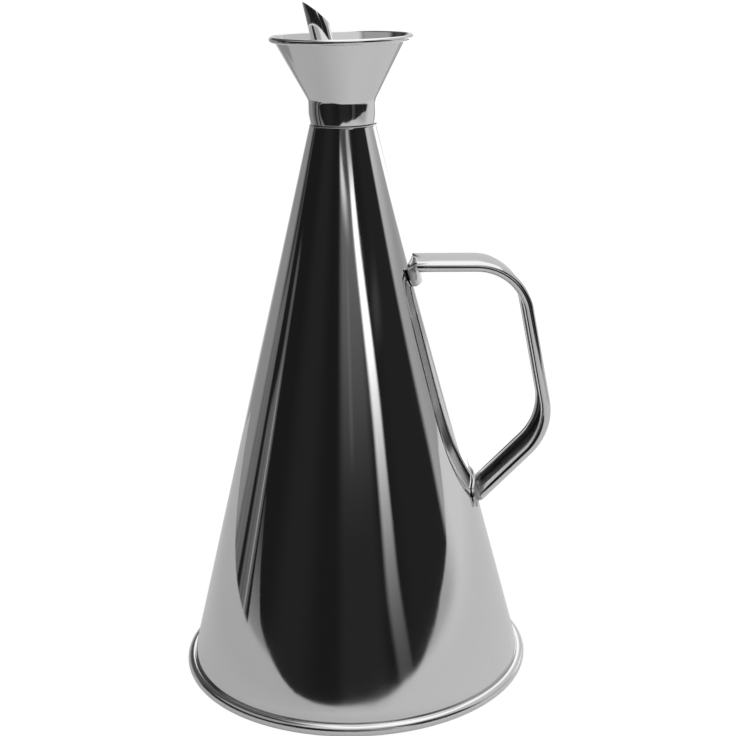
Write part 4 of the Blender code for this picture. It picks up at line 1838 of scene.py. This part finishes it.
    def make(self) -> bpy.types.World:
        """Builds the world, which the camera sees white and the steel sees as the room.

        Returns:
            The world.
        """
        world = bpy.data.worlds.new("studio_room")
        world.use_nodes = True
        graph = Graph(world.node_tree)
        x, y, z = graph.apart(graph.add("ShaderNodeTexCoord", {}, {}, "Generated"))
        side = x.arctangent(-y) * DEGREES
        up = z.arcsine() * DEGREES
        walls = self.right(side, up).largest(self.left(side, up))
        walls = walls.largest(self.behind.light(abs(side), up))
        light = (self.front(side, up) + walls).largest(self.above(side, up, [x, y, z]))
        seen = graph.add("ShaderNodeLightPath", {}, {}, "Is Camera Ray")
        strength = light + seen * (1.0 - light)
        shade = graph.add("ShaderNodeBackground", {}, {"Color": grey(1.0), "Strength": strength})
        graph.node("ShaderNodeOutputWorld", {}, {"Surface": shade})
        return world


@dataclass
class Studio:
    """The pale table, the floor, and the camera at the photograph's viewing angle.

    The table's outline runs round from its far left corner, and its near edge is what ends the dark
    reflection in the cone.
    """

    table_edge: tuple[tuple[float, float], ...] = (
        (-0.39, 0.50), (-0.345, 0.30), (-0.345, -0.055), (-3.0, -0.055), (-3.0, -0.165),
        (-0.50, -0.165), (-0.33, -0.228), (-0.21, -0.265), (-0.165, -0.325), (-0.12, -0.405),
        (-0.07, -0.48), (0.0, -0.53), (0.09, -0.512), (0.18, -0.515), (0.33, -0.54), (0.36, -0.50),
        (0.44, -0.475), (0.60, -0.475), (0.70, -0.435), (0.94, -0.38), (1.15, -0.12), (2.6, 0.4),
        (2.3, 1.66), (0.385, 0.375), (0.22, 0.27), (0.05, 0.25), (-0.05, 0.27),
    )
    floor_size: float = 12.0
    floor_drop: float = 0.0002
    camera_place: tuple[float, float, float] = (0.000383, -0.5500, 0.28765)
    yaw: float = 0.0128
    pitch: float = 0.2892
    roll: float = -0.0206
    lens: float = 70.78
    sensor: float = 36.0

    def lay(self, mesh: bpy.types.Mesh, finish: Finish, *unseen: str) -> None:
        """Lays a staged sheet.

        Args:
            mesh: the sheet, in place.
            finish: its finish.
            *unseen: the kinds of ray that don't meet it.
        """
        sheet = bpy.data.objects.new(mesh.name, mesh)
        bpy.context.scene.collection.objects.link(sheet)
        for ray in unseen:
            setattr(sheet, f"visible_{ray}", False)
        mesh.materials.append(finish.make())

    def lay_table(self) -> None:
        """Lays the table that the steel mirrors, and that the camera doesn't see."""
        corners = np.array([(x, y, 0.0) for x, y in self.table_edge])
        mesh = make_mesh("table", corners, [np.arange(len(corners))[None]])
        self.lay(mesh, TableTop("matt_table"), "camera", "shadow")

    def lay_floor(self) -> None:
        """Lays the floor, which only the camera sees, with the can's soft shadow round its foot."""
        x, y = np.meshgrid([-self.floor_size, self.floor_size], [-self.floor_size, self.floor_size])
        points = np.stack([x, y, np.full_like(x, -self.floor_drop)], -1)
        mesh = make_mesh("floor", points, [grid_faces(2, 2, False, False)])
        self.lay(mesh, WhiteFloor("white_floor"), "diffuse", "glossy", "transmission", "shadow")

    def camera(self) -> bpy.types.Object:
        """The camera, turned by its yaw, its pitch downwards and its roll.

        Returns:
            The camera.
        """
        level = math.cos(self.pitch)
        forward = Vector((math.sin(self.yaw) * level, math.cos(self.yaw) * level, -math.sin(self.pitch)))
        right = Vector((math.cos(self.yaw), -math.sin(self.yaw), 0.0))
        top = right.cross(forward)
        cosine, sine = math.cos(self.roll), math.sin(self.roll)
        across = right * cosine + top * sine
        upward = top * cosine - right * sine
        data = bpy.data.cameras.new("camera")
        data.lens = self.lens
        data.sensor_width = self.sensor
        camera = bpy.data.objects.new("camera", data)
        bpy.context.scene.collection.objects.link(camera)
        turn = Matrix((across, upward, -forward)).transposed().to_4x4()
        camera.matrix_world = Matrix.Translation(self.camera_place) @ turn
        return camera

    def build(self) -> None:
        """Sets the table, the floor, the room, the camera and the plain view transform."""
        scene = bpy.context.scene
        self.lay_table()
        self.lay_floor()
        scene.world = Room().make()
        scene.camera = self.camera()
        scene.view_settings.view_transform = "Standard"


def main() -> None:
    """Builds the can, its handle, its head and the seal, and then the studio."""
    logging.basicConfig(level=logging.INFO, format="%(message)s")
    can = CanBody()
    head = PouringHead()
    for part in (can, Handle(can), head, StopperSeal(head)):
        for piece in part.dress():
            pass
    Studio().build()


if __name__ == "__main__":
    main()
